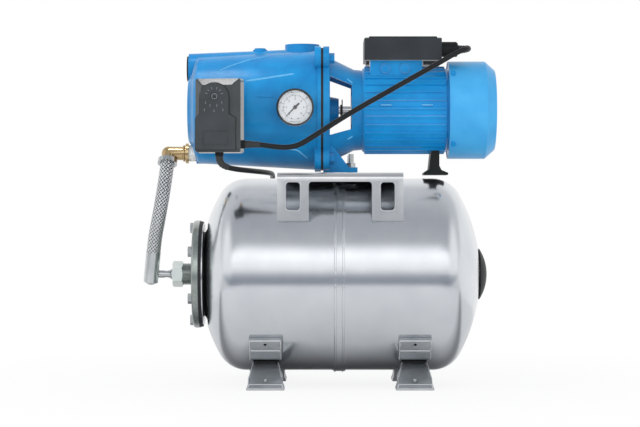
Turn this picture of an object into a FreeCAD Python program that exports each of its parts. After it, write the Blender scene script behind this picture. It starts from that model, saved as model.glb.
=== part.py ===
import FreeCAD, Part
import Sketcher
import math
import os
import re

# Booster pump set: a jet pump with its motor, standing on a lying pressure tank.
# Millimetres. X runs along the pump to the motor, Z is up, -Y is the side with gauge and switch.
# The origin lies on the floor, in the middle between the four feet.

V = FreeCAD.Vector
doc = FreeCAD.newDocument("booster_pump_set")
sheet = doc.addObject("Spreadsheet::Sheet", "sizes")

SIZES = [
    # Tank
    ("tank_radius", 138.5, "outside radius of the vessel"),
    ("tank_clear", 21.5, "floor to the underside of the vessel"),
    ("tank_half", 134, "half the length of the straight shell"),
    ("tank_wall", 1.5, "sheet of the vessel"),
    ("knuckle_radius", 44, "outer knuckle of the dished heads"),
    ("crown_radius", 235.1, "outer crown of the dished heads"),
    ("seam_half", 8, "half width of the belled seam"),
    ("seam_step", 3, "joggle beside the seam"),
    ("fit_gap", 0.3, "clearance between curved faces that only touch"),
    ("seat_radius", 80, "flat ring pressed into the left head"),
    ("seat_depth", 17, "seat behind the level of the crown's tip"),
    ("seat_step", 3, "slant from the crown to the seat"),
    ("neck_radius", 56, "neck of the vessel"),
    ("neck_wall", 4, "wall of the neck"),
    ("rim_radius", 74, "rim of the neck under the flange"),
    ("rim_thick", 4, "rim of the neck"),
    ("neck_length", 9.5, "seat to the rim of the neck"),
    ("lip_thick", 2, "membrane's lip between rim and flange"),
    ("lip_radius", 77, "membrane's lip"),
    ("lip_inner", 49, "mouth of the bladder"),
    ("membrane_bend", 60, "rounding at the bladder's far end"),
    ("cover_valley", 61, "smallest radius of the neck cover"),
    ("cover_edge", 73, "largest radius of the neck cover"),
    ("cover_land", 1.4, "straight lands of the neck cover"),
    ("flange_radius", 77.6, "tank flange"),
    ("flange_thick", 9.5, "tank flange, with its rolled edge"),
    ("flange_edge", 4, "rounding of the flange's rim"),
    ("flange_bolts", 6, "number of flange bolts"),
    ("flange_head_across", 13, "flats of the flange bolt heads"),
    ("nipple_radius", 15, "nipple in the tank flange"),
    ("flange_circle", 66.7, "radius of the circle of flange bolts"),
    ("flange_bolt_radius", 4, "M8 flange bolts"),
    ("flange_head", 5.2, "height of the flange bolt heads"),
    ("bolt_gap", 0.25, "clearance round every bolt shank"),
    ("membrane_radius", 118, "rubber bladder"),
    ("membrane_half", 128, "far end of the bladder"),
    ("membrane_wall", 2.2, "rubber bladder"),
    ("valve_radius", 8, "air valve body"),
    ("valve_bore", 2.6, "bore of the air valve"),
    ("running_gap", 0.05, "radial clearance of running fits"),
    ("valve_shank", 6, "air valve body inside the head"),
    ("valve_length", 7.5, "air valve body outside the head"),
    ("valve_tip_radius", 4, "threaded tip of the air valve"),
    ("valve_pin_radius", 0.9, "pin of the valve core"),
    ("valve_cap_rim", 2, "straight edge of the cap"),
    ("valve_cap_dome", 66, "dome of the cap"),
    ("valve_cap_radius", 36.5, "black cover over the air valve"),
    ("valve_cap_height", 12.5, "black cover over the air valve"),
    ("valve_cap_wall", 1.8, "black cover over the air valve"),
    ("valve_travel", 1.2, "travel of the valve core"),
    # Top bracket
    ("plate_half_x", 88, "half length of the bracket's plate"),
    ("plate_half_y", 118, "half width over the bracket's legs"),
    ("plate_rise", 6.5, "bracket's plate above the vessel"),
    ("plate_level", "=tank_clear + 2*tank_radius + plate_rise", "top of the bracket's plate"),
    ("plate_sheet", 3, "sheet of the bracket"),
    ("leg_width", 44, "width of one bracket leg"),
    ("slot_width", 21, "window in each bracket leg"),
    ("slot_drop", 13, "leg windows below the plate"),
    ("slot_height", 40.4, "height of the leg windows"),
    ("slot_top", "=plate_level - slot_drop", "upper edge of the leg windows"),
    ("slot_bottom", "=slot_top - slot_height", "lower edge of the leg windows"),
    ("slot_corner", 5, "corner radius of the leg windows"),
    ("bend_radius", 9, "outer bend of the bracket"),
    # Feet
    ("foot_spacing_x", 210, "foot holes along the tank"),
    ("foot_spacing_y", 190, "foot holes across the tank"),
    ("foot_width", 53, "foot at the floor"),
    ("foot_neck", 35, "foot below its fold"),
    ("foot_pad_width", 45, "pad against the vessel"),
    ("foot_sheet", 2.5, "sheet of the feet"),
    ("foot_hole_radius", 3.5, "fixing hole in each foot"),
    ("foot_neck_wall", 2.5, "neck round the fixing hole, from the step down to the floor"),
    ("toe_reach", 9, "toe beyond the fixing holes"),
    ("toe_slope", 3.5, "lean of the toe's lip"),
    ("toe_height", 8, "top of the toe's lip"),
    ("step_reach", 5, "step behind the fixing holes"),
    ("step_height", 16.5, "top of the stepped toe"),
    ("foot_step_width", 48, "foot at its step"),
    ("leg_top", 37, "top of the foot's front wall"),
    ("leg_top_y", 73, "top of the foot's front wall from the middle"),
    ("fold_top", 46, "leg before the vessel cuts it"),
    ("foot_back_y", 55, "back of the foot from the middle"),
    ("pad_stand", 6, "pad stands off the vessel"),
    ("pad_top_angle", 38, "top of the pad below the horizontal"),
    ("pad_bottom_angle", 55, "bottom of the pad below the horizontal"),
    ("pad_hole_radius", 2.2, "small hole in the pad"),
    ("pad_hole_down", 3.5, "small hole below the pad's top, degrees"),
    # Pump
    ("pump_rise", 92.3, "pump shaft above the bracket's plate"),
    ("pump_level", "=plate_level + pump_rise", "pump shaft above the floor"),
    ("casing_left", -218, "left face of the casing"),
    ("casing_joint", -27, "joint face of the casing"),
    ("casing_flange", 9, "thickness of the casing's flange"),
    ("joint_disc", 5, "joint flange between its lobes"),
    ("joint_radius", 89, "round part of the joint flange"),
    ("lobe_y", 58, "casing bolts beside the shaft"),
    ("lobe_z", 71, "casing bolts above and below the shaft"),
    ("lobe_radius", 17, "bolt lobes of the joint flange"),
    ("drum_small", 77, "casing radius near the left end"),
    ("drum_large", 86.5, "casing radius at the joint"),
    ("casing_wall", 6, "cast wall"),
    ("gasket_thick", 3.4, "casing gasket"),
    ("gasket_inset", 2, "gasket inside the joint's outline"),
    ("end_radius", 46, "flat left end of the casing"),
    ("shoulder_x", 10.5, "rounded shoulder of the casing"),
    ("shoulder_rise", 33, "rounded shoulder of the casing"),
    ("suction_rise", 60, "suction port above the shaft"),
    ("suction_boss_radius", 21.75, "suction port boss"),
    ("channel_end_radius", 29.3, "suction channel where it meets the joint"),
    ("channel_end", -36, "end of the suction channel"),
    ("port_radius", 15.1, "G1 ports"),
    ("port_depth", 22, "thread depth of the ports"),
    ("port_ring_radius", 18, "seal ring on the suction port"),
    ("port_ring_thick", 2.5, "seal ring on the suction port"),
    ("delivery_x", -54, "delivery port along the casing"),
    ("delivery_top", 94.7, "delivery port face above the shaft"),
    ("delivery_boss_radius", 25, "delivery port boss"),
    ("priming_x", -115, "priming plug along the casing"),
    ("priming_top", 87.5, "priming boss above the shaft"),
    ("priming_boss_radius", 10.5, "priming boss"),
    ("priming_radius", 6.6, "priming plug thread"),
    ("gauge_x", -63, "gauge along the casing"),
    ("gauge_boss_reach", 90, "gauge boss in front of the shaft"),
    ("gauge_boss_radius", 11, "gauge boss"),
    ("gauge_stem_radius", 6.5, "G1/4 stem of the gauge"),
    ("switch_x", -170, "switch nipple along the casing"),
    ("switch_rise", 11.7, "switch nipple above the pump shaft"),
    ("switch_level", "=pump_level + switch_rise", "switch nipple above the floor"),
    ("switch_yaw", 7, "switch turned away from the motor, degrees"),
    ("switch_boss_reach", 85, "switch boss in front of the shaft"),
    ("switch_boss_radius", 12, "switch boss"),
    ("switch_nipple_radius", 6.5, "G1/4 nipple of the switch"),
    ("outlet_drop", 62.5, "outlet to the tank below the shaft"),
    ("outlet_face", -207, "face of the outlet boss"),
    ("outlet_boss_radius", 15, "outlet boss"),
    ("outlet_boss_length", 24, "outlet boss"),
    ("outlet_radius", 11, "taped outlet nipple"),
    ("casing_bolt_radius", 4, "M8 casing bolts"),
    ("casing_bolt_across", 13, "flats of the casing bolt heads"),
    ("casing_bolt_head", 7.5, "casing bolt heads with their washers"),
    ("bracket_flange", 8.4, "lantern flange"),
    ("cone_start_radius", 76, "lantern at its flange"),
    ("cone_end", 20.4, "end of the lantern's cone"),
    ("cone_end_radius", 58.6, "end of the lantern's cone"),
    ("motor_face", 32.6, "joint of lantern and motor housing"),
    ("lantern_radius", 57.5, "lantern at the motor"),
    ("lantern_wall", 6, "cast wall of the lantern"),
    ("lantern_plate", 7, "end plate of the lantern"),
    ("window_left_high", 46, "side window of the lantern"),
    ("window_left_low", 38, "side window of the lantern"),
    ("window_right", 17, "side window of the lantern"),
    ("window_right_high", 34, "side window of the lantern"),
    ("window_right_low", 29, "side window of the lantern"),
    ("seal_bore", 14, "bore for the shaft seal"),
    ("seal_hub_radius", 20, "seal housing in the lantern"),
    ("seal_hub_length", 14, "seal housing in the lantern"),
    ("pump_foot_half", 51, "half width of the pump foot"),
    ("pump_foot_thick", 8.5, "sole of the pump foot"),
    ("pump_foot_end", 25.2, "end of the pump foot"),
    ("gusset_thick", 7, "gussets of the pump foot"),
    ("gusset_top", 46, "gussets reach this far below the shaft"),
    ("gusset_end", 13, "end of the gussets"),
    ("shaft_radius", 6, "pump end of the shaft"),
    ("bearing_radius", 16, "outside of the ball bearings"),
    ("bearing_width", 10, "ball bearings"),
    ("foot_bolt_x", 16, "studs of the pump foot"),
    ("foot_bolt_y", 35, "studs of the pump foot beside the shaft"),
    ("foot_bolt_radius", 4, "M8 studs of the pump foot"),
    # Inside the pump
    ("venturi_radius", 13, "outside of the venturi tube"),
    ("venturi_throat", 6, "throat of the venturi tube"),
    ("diffuser_face", -62, "front of the diffuser"),
    ("diffuser_seat", 3, "venturi tube inside the diffuser"),
    ("diffuser_wall", 2.5, "moulded wall of the diffuser"),
    ("diffuser_radius", 76, "diffuser"),
    ("eye_radius", 20, "eye of the impeller"),
    ("impeller_face", -52, "front of the impeller"),
    ("impeller_radius", 66, "impeller"),
    ("impeller_hub", 16, "impeller's hub behind its face"),
    ("shroud", 2, "shrouds of the impeller"),
    ("blade_width", 6, "water way of the impeller"),
    ("blade_thick", 2, "blades of the impeller"),
    ("blade_sweep", 26, "blade tip beside its root"),
    ("blade_curve", 60, "hollow side of the blades"),
    ("blades", 6, "number of impeller blades"),
    ("hub_radius", 11, "hub of the impeller"),
    ("nut_across", 13, "flats of the impeller nut"),
    ("nut_thick", 6, "impeller nut"),
    ("stud_radius", 4, "threaded end of the shaft"),
    ("seal_seat_thick", 7, "ceramic seat of the shaft seal"),
    ("slinger_x", 3, "slinger along the shaft"),
    ("slinger_radius", 15.5, "slinger"),
    # Motor
    ("bearing_bore", 7.5, "bore of the ball bearings"),
    ("core_shaft_radius", 9, "shaft inside the rotor core"),
    ("rotor_radius", 28, "rotor core"),
    ("air_gap", 0.5, "air gap of the motor"),
    ("stator_start", 54, "front of the stator core"),
    ("stator_length", 72, "stator core"),
    ("stator_radius", 52, "stator core and housing bore"),
    ("winding_length", 16, "end turns of the winding"),
    ("housing_end", 154.4, "rear end of the motor housing"),
    ("rib_root", 61, "housing between its ribs"),
    ("housing_radius", 63.5, "housing over its ribs"),
    ("rib_width", 2.4, "cooling ribs"),
    ("rib_start", 3.4, "ribs start behind the joint"),
    ("ribs", 32, "number of cooling ribs"),
    ("box_rise", 69.7, "underside of the terminal box above the shaft"),
    ("box_level", "=pump_level + box_rise", "underside of the terminal box"),
    ("box_seat_left", 43.5, "seat of the terminal box"),
    ("box_seat_right", 118, "seat of the terminal box"),
    ("box_seat_half", 38, "half width of the terminal box seat"),
    ("knockout_first", 21.5, "first knock-out from the seat's left end"),
    ("knockout_second", 50, "second knock-out from the seat's left end"),
    ("knockout_drop", 10.5, "knock-outs below the terminal box"),
    ("knockout_radius", 7.2, "knock-outs"),
    ("knockout_height", 0.8, "knock-outs stand proud"),
    ("wire_way_half", 12, "half width of the opening for the leads"),
    ("screw_circle", 57, "circle of the end shield screws"),
    ("screw_radius", 2.5, "M5 end shield screws"),
    ("screw_length", 16, "end shield screws in the housing"),
    ("shield_spigot", 5, "end shield inside the housing"),
    ("shield_wall", 4, "wall of the end shield"),
    ("shield_gap", 3.5, "housing to the rim under the fan cover"),
    ("shield_rim", 8, "rim under the fan cover"),
    ("shield_seat", 3, "rear bearing behind the housing's end"),
    ("cover_inner", 69, "inside of the fan cover"),
    ("fan_x", 178, "front of the fan"),
    ("fan_bore", 6, "bore of the fan"),
    ("fan_hub_length", 20, "hub of the fan"),
    ("screw_across", 8, "flats of the end shield screws"),
    ("screw_head", 3.5, "heads of the end shield screws"),
    ("fan_hub_radius", 12, "hub of the fan"),
    ("fan_radius", 54, "fan"),
    ("fan_blade_width", 16, "blades of the fan"),
    ("fan_blades", 8, "number of fan blades"),
    ("cover_sheet", 1.5, "sheet of the fan cover"),
    ("cover_lap", 1.6, "fan cover before its seat"),
    ("cover_shoulder", 209.7, "end of the fan cover's straight wall"),
    ("cover_face", 223.7, "rim of the fan cover's end face"),
    ("cover_face_radius", 58, "rim of the fan cover's end face"),
    ("cover_dome", 2.5, "bulge of the end face"),
    ("cover_dome_radius", 674, "curve of the end face"),
    ("slot_ring_1", 18, "grille slots, inner ring from"),
    ("slot_ring_2", 32, "grille slots, inner ring to"),
    ("slot_ring_3", 38, "grille slots, outer ring from"),
    ("slot_ring_4", 52, "grille slots, outer ring to"),
    ("grille_slot", 3.2, "width of the inner grille slots"),
    ("grille_slots", 16, "slots in each ring"),
    ("cover_screw_radius", 4, "fan cover screws"),
    ("cover_screw_height", 2, "fan cover screws"),
    ("cover_screws", 4, "number of fan cover screws"),
    ("box_left", 35, "terminal box"),
    ("box_right", 146, "terminal box"),
    ("box_half", 46, "half width of the terminal box"),
    ("box_height", 30, "terminal box below its lid"),
    ("box_wall", 2.5, "wall of the terminal box"),
    ("box_corner", 4, "upright corners of the terminal box"),
    ("apron_left", 120, "apron under the terminal box"),
    ("apron_right", 144, "apron under the terminal box"),
    ("apron_half", 26, "half width of the apron"),
    ("apron_drop", 5.5, "apron below the box"),
    ("lid_rim", 1.2, "edge of the lid"),
    ("lid_step", 6, "lid's crown inside its edge"),
    ("lid_height", 4.5, "lid"),
    ("strip_length", 55, "terminal block"),
    ("strip_width", 22, "terminal block"),
    ("strip_height", 14, "terminal block"),
    ("capacitor_radius", 12.5, "capacitor"),
    ("capacitor_length", 70, "capacitor"),
    ("gland_y", 25, "gland in front of the shaft"),
    ("gland_rise", 16.5, "gland above the terminal box's underside"),
    ("gland_level", "=box_level + gland_rise", "gland above the floor"),
    ("gland_thread", 8, "gland in the box wall"),
    ("gland_radius", 10.6, "gland"),
    ("gland_length", 24, "gland outside the box"),
    ("cord_radius", 3.75, "motor cable and mains cord"),
    ("motor_foot_x", 138.5, "rear motor foot"),
    ("motor_foot_base", 35, "base of the rear motor foot"),
    ("motor_foot_neck", 10, "neck of the rear motor foot"),
    ("motor_foot_half", 24, "half width of the rear motor foot"),
    ("motor_foot_clear", 4.9, "rear motor foot above the vessel"),
    ("motor_foot_under", "=tank_clear + 2*tank_radius + motor_foot_clear", "underside of the rear motor foot"),
    # Pressure switch
    ("nipple_collar", 4, "hexagon of the switch nipple"),
    ("diaphragm_height", 12, "diaphragm housing"),
    ("diaphragm_radius", 24, "diaphragm housing"),
    ("switch_plate", 2.5, "base plate of the switch"),
    ("switch_reach", 53, "front of the switch from its boss"),
    ("switch_left", -27.5, "cover beside the nipple's axis"),
    ("switch_width", 65, "cover of the switch"),
    ("switch_top", 27, "cover above the nipple's axis"),
    ("switch_height", 104, "cover of the switch"),
    ("switch_wall", 2, "wall of the cover"),
    ("cover_bevel", 10, "bevel of the cover's front"),
    ("cover_rounding", 3, "rounding of the cover's edges"),
    ("plunger_radius", 3.5, "plunger on the diaphragm"),
    ("plunger_length", 14, "plunger in front of the plate"),
    ("spring_radius", 11, "main spring"),
    ("spring_pitch", 2.4, "turns of the main spring"),
    ("contact_low", -60, "contact block"),
    ("contact_high", -22, "contact block"),
    ("contact_height", 16, "contact block"),
    ("lever_half", 7, "half width of the lever"),
    ("lever_thick", 2, "lever"),
    ("panel_x", 1.5, "middle of the raised arch"),
    ("panel_low_x", 3.4, "middle of the raised lower panel"),
    ("panel_radius", 20.4, "arch of the raised panel"),
    ("panel_half", 28, "half width of the lower panel"),
    ("panel_top", 19.5, "top of the arch"),
    ("panel_shoulder", -24, "shoulders of the panel"),
    ("panel_bottom", -73, "bottom of the panel"),
    ("panel_height", 2.5, "panel stands proud"),
    ("label_half", 17.5, "half width of the bare recess"),
    ("label_height", 19, "bare recess"),
    ("label_depth", 0.8, "bare recess"),
    ("knob_x", 2, "cover nut beside the nipple's axis"),
    ("knob_z", 1, "cover nut above the nipple's axis"),
    ("knob_radius", 5, "cover nut"),
    ("knob_depth", 3, "cover nut in its recess"),
    ("grommet_reach", 30, "cable grommets from the boss"),
    ("grommet_radius", 6, "cable grommets"),
    ("grommet_proud", 4, "cable grommets stand proud"),
    ("side_grommet_z", -65, "grommet of the motor cable"),
    ("low_grommet_x", 5, "grommet of the mains cord"),
    # Gauge
    ("gauge_drop", 1.5, "gauge boss below the shaft"),
    ("gauge_neck", 6, "boss to the back of the gauge"),
    ("gauge_depth", 24, "depth of the gauge"),
    ("gauge_radius", 25, "case of the gauge"),
    ("bezel_radius", 26.2, "bezel of the gauge"),
    ("bezel_inner", 23.6, "opening of the bezel"),
    ("bezel_depth", 6, "bezel over the case"),
    ("dial_drop", 5, "dial behind the bezel's front"),
    ("glass_drop", 1, "glass behind the bezel's front"),
    ("glass_thick", 1.2, "glass of the gauge"),
    ("movement_radius", 11, "movement of the gauge"),
    ("movement_depth", 16.8, "movement of the gauge"),
    ("arbor_radius", 1, "arbor of the needle"),
    ("needle_hub", 2.6, "hub of the needle"),
    ("needle_lift", 0.8, "needle over the dial"),
    ("needle_thick", 0.6, "needle"),
    ("needle_length", 17.5, "needle"),
    ("needle_tail", 8, "tail of the needle"),
    ("needle_rest", 225, "needle at zero, clockwise from the top"),
    # Line to the tank, cords
    ("nipple_reach", 11.3, "taped nipple outside its boss"),
    ("hose_radius", 10.25, "braided hose"),
    ("elbow_drop", 10.2, "bend of the elbow to the hose"),
    ("elbow_radius", 9.8, "arms of the elbow"),
    ("elbow_collar_radius", 14.5, "collar of the elbow"),
    ("elbow_collar_length", 4.2, "collar of the elbow"),
    ("hose_ring_radius", 14.2, "ring on the hose's upper end"),
    ("hose_ring_length", 6.5, "ring on the hose's upper end"),
    ("sleeve_radius", 10.6, "crimped sleeve at the hose's lower end"),
    ("sleeve_length", 45, "crimped sleeve at the hose's lower end"),
    ("nipple_bore", 12, "bore of the nipple in the flange"),
    ("nipple_length", 17, "nipple outside the tank flange"),
    ("union_across", 32.5, "flats of the union nut"),
    ("union_length", 15, "union nut"),
    ("union_lap", 1.4, "union nut over the nipple's threads, from the nipple's tip"),
    ("tail_radius", 5.6, "tail between union nut and sleeve"),
    ("tail_collar", 11.7, "sealing collar of the tail"),
    ("priming_head", 2, "head of the priming plug"),
    ("stud_rise", 28, "foot studs above the bracket's plate"),
    ("stud_top", "=plate_level + stud_rise", "tip of the pump foot studs"),
    ("stud_nut", 6.5, "nuts on the pump foot"),
    ("stud_head", 4.6, "heads under the bracket's plate"),
    ("stud_across", 13, "flats of the studs' nuts and heads"),
    ("hank_x", -109, "put-away cord, its middle"),
    ("hank_y", 154, "put-away cord, its middle"),
    ("hank_run", 39.5, "straight runs of the put-away cord"),
    ("hank_bend", 26.25, "outer bend of the put-away cord"),
    ("hank_layers", 4, "turns of the put-away cord, one on another"),
    ("plug_x", -132.5, "middle of the plug"),
    ("plug_y", 172, "cord end of the plug"),
    ("plug_radius", 18.5, "face of the plug"),
    ("plug_length", 46, "body of the plug"),
    ("pin_radius", 2.4, "pins of the plug"),
    ("pin_length", 19, "pins of the plug"),
    ("pin_spacing", 19, "between the pins"),
]

for row, (alias, default, note) in enumerate(SIZES, start=2):
    sheet.set("A%d" % row, alias)
    sheet.set("B%d" % row, str(default))
    sheet.set("C%d" % row, note)
    sheet.setAlias("B%d" % row, alias)
doc.recompute()

WORDS = re.compile(r"[a-z_][a-z_0-9]*")
KNOWN = {alias for alias, default, note in SIZES}
nodes = []
cuts = []


def linked(formula):
    """Turn the plain names of sizes in a formula into references to the sheet."""
    return WORDS.sub(lambda m: "sizes." + m.group(0) if m.group(0) in KNOWN else m.group(0), str(formula))


def number(formula):
    return float(sheet.evalExpression(linked(formula)))


def bind(thing, name, formula):
    thing.setExpression(name, linked(formula))


def put(thing, x=0, y=0, z=0, turn=None):
    """Place an object at a bound position, turned if a rotation is given."""
    if turn is not None:
        thing.Placement = FreeCAD.Placement(V(0, 0, 0), turn)
    for letter, formula in zip("xyz", (x, y, z)):
        if str(formula) != "0":
            bind(thing, ".Placement.Base.%s" % letter, formula)
    return thing


def node(thing, label):
    thing.Label = label
    nodes.append(thing)
    return thing


def new_body(label):
    body = doc.addObject("PartDesign::Body", label)
    return node(body, label)


def origin_of(body, role):
    return [f for f in body.Origin.OriginFeatures if f.Role == role][0]


def new_sketch(body, plane, offset=0):
    sketch = body.newObject("Sketcher::SketchObject", body.Name + "_outline")
    sketch.AttachmentSupport = [(origin_of(body, plane), "")]
    sketch.MapMode = "FlatFace"
    if str(offset) != "0":
        bind(sketch, ".AttachmentOffset.Base.z", offset)
    return sketch


def pin(sketch, curve, end, x, y):
    """Hold one point of a sketch at two formulas."""
    for kind, formula in (("DistanceX", x), ("DistanceY", y)):
        spot = sketch.addConstraint(Sketcher.Constraint(kind, -1, 1, curve, end, number(formula)))
        sketch.renameConstraint(spot, "%s_%d_%d" % (kind, curve, end))
        bind(sketch, "Constraints.%s_%d_%d" % (kind, curve, end), formula)


def arc_between(start, end, radius, side):
    """Arc from start to end whose centre lies on one side of the way."""
    chord = end - start
    across = V(-chord.y, chord.x, 0).normalize() * (1 if side == "left" else -1)
    rise = math.sqrt(max(radius ** 2 - (chord.Length / 2) ** 2, 0.0))
    centre = (start + end) * 0.5 + across * rise
    ends = (start, end) if side == "left" else (end, start)
    angles = [math.atan2(p.y - centre.y, p.x - centre.x) for p in ends]
    if angles[1] < angles[0]:
        angles[1] += 2 * math.pi
    return Part.ArcOfCircle(Part.Circle(centre, V(0, 0, 1), radius), *angles)


def loop(sketch, points):
    """Closed outline. A point is (x, y), or (x, y, radius, side) where an arc arrives at it."""
    first = sketch.GeometryCount
    spots = [V(number(p[0]), number(p[1]), 0) for p in points]
    for index, point in enumerate(points):
        start = spots[index - 1]
        if len(point) == 4:
            edge = arc_between(start, spots[index], number(point[2]), point[3])
        else:
            edge = Part.LineSegment(start, spots[index])
        sketch.addGeometry(edge, False)
    count = len(points)
    for index, point in enumerate(points):
        curve = first + index
        following = first + (index + 1) % count
        ends = []
        for number_of, other in ((curve, points[index]), (following, points[(index + 1) % count])):
            ends.append(len(other) == 4 and other[3] == "right")
        sketch.addConstraint(Sketcher.Constraint("Coincident", curve, 1 if ends[0] else 2,
                                                 following, 2 if ends[1] else 1))
        pin(sketch, curve, 1 if ends[0] else 2, point[0], point[1])
        if len(point) == 4:
            spot = sketch.addConstraint(Sketcher.Constraint("Radius", curve, number(point[2])))
            sketch.renameConstraint(spot, "bend_%d" % curve)
            bind(sketch, "Constraints.bend_%d" % curve, point[2])


def ring(sketch, x, y, radius):
    """Circle in a sketch, bound in place and size."""
    curve = sketch.addGeometry(Part.Circle(V(number(x), number(y), 0), V(0, 0, 1), number(radius)), False)
    pin(sketch, curve, 3, x, y)
    spot = sketch.addConstraint(Sketcher.Constraint("Radius", curve, number(radius)))
    sketch.renameConstraint(spot, "round_%d" % curve)
    bind(sketch, "Constraints.round_%d" % curve, radius)


def box_points(left, right, low, high):
    return [(left, low), (right, low), (right, high), (left, high)]


def hexagon_points(across):
    """Six corners of a hexagon, flats at left and right."""
    half = "(%s)/2" % across
    corner = "(%s)/2/cos(30)" % across
    low = "(%s)/4/cos(30)" % across
    return [(half, "-" + low), (half, low), ("0", corner), ("-" + half, low),
            ("-" + half, "-" + low), ("0", "-" + corner)]


def spun(body, points, axis="X", groove=False):
    """Turn an outline of (along, radius) points about one axis of the body."""
    plane = {"X": "XZ_Plane", "Y": "YZ_Plane", "Z": "XZ_Plane"}[axis]
    sketch = new_sketch(body, plane)
    if axis == "Z":
        points = [(p[1], p[0]) + ((p[2], {"left": "right", "right": "left"}[p[3]]) if len(p) == 4 else ())
                  for p in points]
    loop(sketch, points)
    kind = "PartDesign::Groove" if groove else "PartDesign::Revolution"
    turned = body.newObject(kind, body.Name + "_turned")
    turned.Profile = sketch
    turned.ReferenceAxis = (origin_of(body, axis + "_Axis"), [""])
    turned.Angle = 360
    sketch.Visibility = False
    body.Tip = turned
    return turned


def turned_part(label, points, axis="X", x=0, y=0, z=0, turn=None):
    body = new_body(label)
    spun(body, points, axis)
    put(body, x, y, z, turn)
    return body


def pad(body, sketch, length, middle=False, reverse=False):
    feature = body.newObject("PartDesign::Pad", body.Name + "_pad")
    feature.Profile = sketch
    bind(feature, "Length", length)
    feature.Midplane = middle
    feature.Reversed = reverse
    sketch.Visibility = False
    body.Tip = feature
    return feature


def pocket(body, sketch, length=None, middle=False, reverse=False):
    """Cut a sketch out of the body, right through both ways if no length is given."""
    feature = body.newObject("PartDesign::Pocket", body.Name + "_pocket")
    feature.Profile = sketch
    if length is None:
        feature.Type = "ThroughAll"
        feature.Midplane = True
    else:
        bind(feature, "Length", length)
        feature.Midplane = middle
        feature.Reversed = reverse
    sketch.Visibility = False
    body.Tip = feature
    cuts.append(feature)
    return feature


def around(body, features, axis, count):
    pattern = body.newObject("PartDesign::PolarPattern", body.Name + "_round")
    pattern.Originals = features
    pattern.Axis = (origin_of(body, axis + "_Axis"), [""])
    pattern.Angle = 360
    bind(pattern, "Occurrences", count)
    body.Tip = pattern
    return pattern


def soften(body, radius, chosen):
    """Round the edges of the body's last feature that a test picks."""
    doc.recompute()
    base = body.Tip
    names = ["Edge%d" % (i + 1) for i, e in enumerate(base.Shape.Edges) if chosen(e)]
    feature = body.newObject("PartDesign::Fillet", body.Name + "_fillet")
    feature.Base = (base, names)
    bind(feature, "Radius", radius)
    body.Tip = feature
    return feature


def rod(name, radius, length, x=0, y=0, z=0, axis="Z", inner=None):
    """Cylinder from its foot along one axis, or a tube if an inner radius is given."""
    turns = {"X": (V(0, 1, 0), 90), "Y": (V(1, 0, 0), -90), "Z": (V(0, 0, 1), 0)}
    outer = doc.addObject("Part::Cylinder", name)
    bind(outer, "Radius", radius)
    bind(outer, "Height", length)
    put(outer, x, y, z, FreeCAD.Rotation(*turns[axis]))
    if inner is None:
        return outer
    core = rod(name + "_bore", inner, length, x, y, z, axis)
    return minus(name + "_tube", outer, [core])


def block(name, length, width, height, x=0, y=0, z=0, turn=None):
    """Box whose x, y and z give its lowest corner."""
    box = doc.addObject("Part::Box", name)
    for prop, formula in zip(("Length", "Width", "Height"), (length, width, height)):
        bind(box, prop, formula)
    return put(box, x, y, z, turn)


def joined(name, pieces):
    result = doc.addObject("Part::MultiFuse", name)
    result.Shapes = pieces
    result.Refine = True
    return result


def minus(name, base, tools):
    tool = tools[0] if len(tools) == 1 else joined(name + "_tools", tools)
    result = doc.addObject("Part::Cut", name)
    result.Base = base
    result.Tool = tool
    result.Refine = True
    return result


def group_of(label, pieces):
    """One node that holds several separate solids."""
    result = doc.addObject("Part::Compound", label)
    result.Links = pieces
    return node(result, label)


# Tank: two deep-drawn halves, the left one belled over the right one at the seam.
# The crown's centre lies on the axis, crown_back before the end of the straight shell.
TANK_LEVEL = "(tank_clear + tank_radius)"
CROWN_SPAN = "(crown_radius - knuckle_radius)"
KNUCKLE_LEVEL = "(tank_radius - knuckle_radius)"
CROWN_BACK = "sqrt(%s^2 - %s^2)" % (CROWN_SPAN, KNUCKLE_LEVEL)
CROWN_CENTRE = "(tank_half - %s)" % CROWN_BACK
HEAD_TIP = "(%s + crown_radius)" % CROWN_CENTRE
SEAT = "(%s - seat_depth)" % HEAD_TIP
RIM = "(%s + neck_length)" % SEAT
RIM_FACE = "(%s + rim_thick)" % RIM
FLANGE_BACK = "(%s + lip_thick)" % RIM_FACE
FLANGE_FACE = "(%s + flange_thick)" % FLANGE_BACK
INNER_RADIUS = "(tank_radius - tank_wall)"
BELL_INNER = "(tank_radius + fit_gap)"
BELL_OUTER = "(tank_radius + fit_gap + tank_wall)"
NECK_INNER = "(neck_radius - neck_wall)"


def crown_x(radius, inset="0"):
    """Distance from the middle at which the crown has a given radius."""
    return "(%s + sqrt((crown_radius - %s)^2 - (%s)^2))" % (CROWN_CENTRE, inset, radius)


def knuckle_end(inset="0"):
    """Point where the knuckle runs into the crown."""
    crown = "(crown_radius - %s)" % inset
    return ("(%s + %s*%s/%s)" % (CROWN_CENTRE, crown, CROWN_BACK, CROWN_SPAN),
            "(%s*%s/%s)" % (KNUCKLE_LEVEL, crown, CROWN_SPAN))


skin, inside = knuckle_end(), knuckle_end("tank_wall")
valve_hole = "(valve_radius + bolt_gap)"
turned_part("tank_shell_right", [
    ("-seam_half + seam_step", INNER_RADIUS),
    ("tank_half", INNER_RADIUS),
    (inside[0], inside[1], "knuckle_radius - tank_wall", "right"),
    (crown_x(valve_hole, "tank_wall"), valve_hole, "crown_radius - tank_wall", "right"),
    (crown_x(valve_hole), valve_hole),
    (skin[0], skin[1], "crown_radius", "left"),
    ("tank_half", "tank_radius", "knuckle_radius", "left"),
    ("-seam_half + seam_step", "tank_radius"),
], z=TANK_LEVEL)

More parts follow.
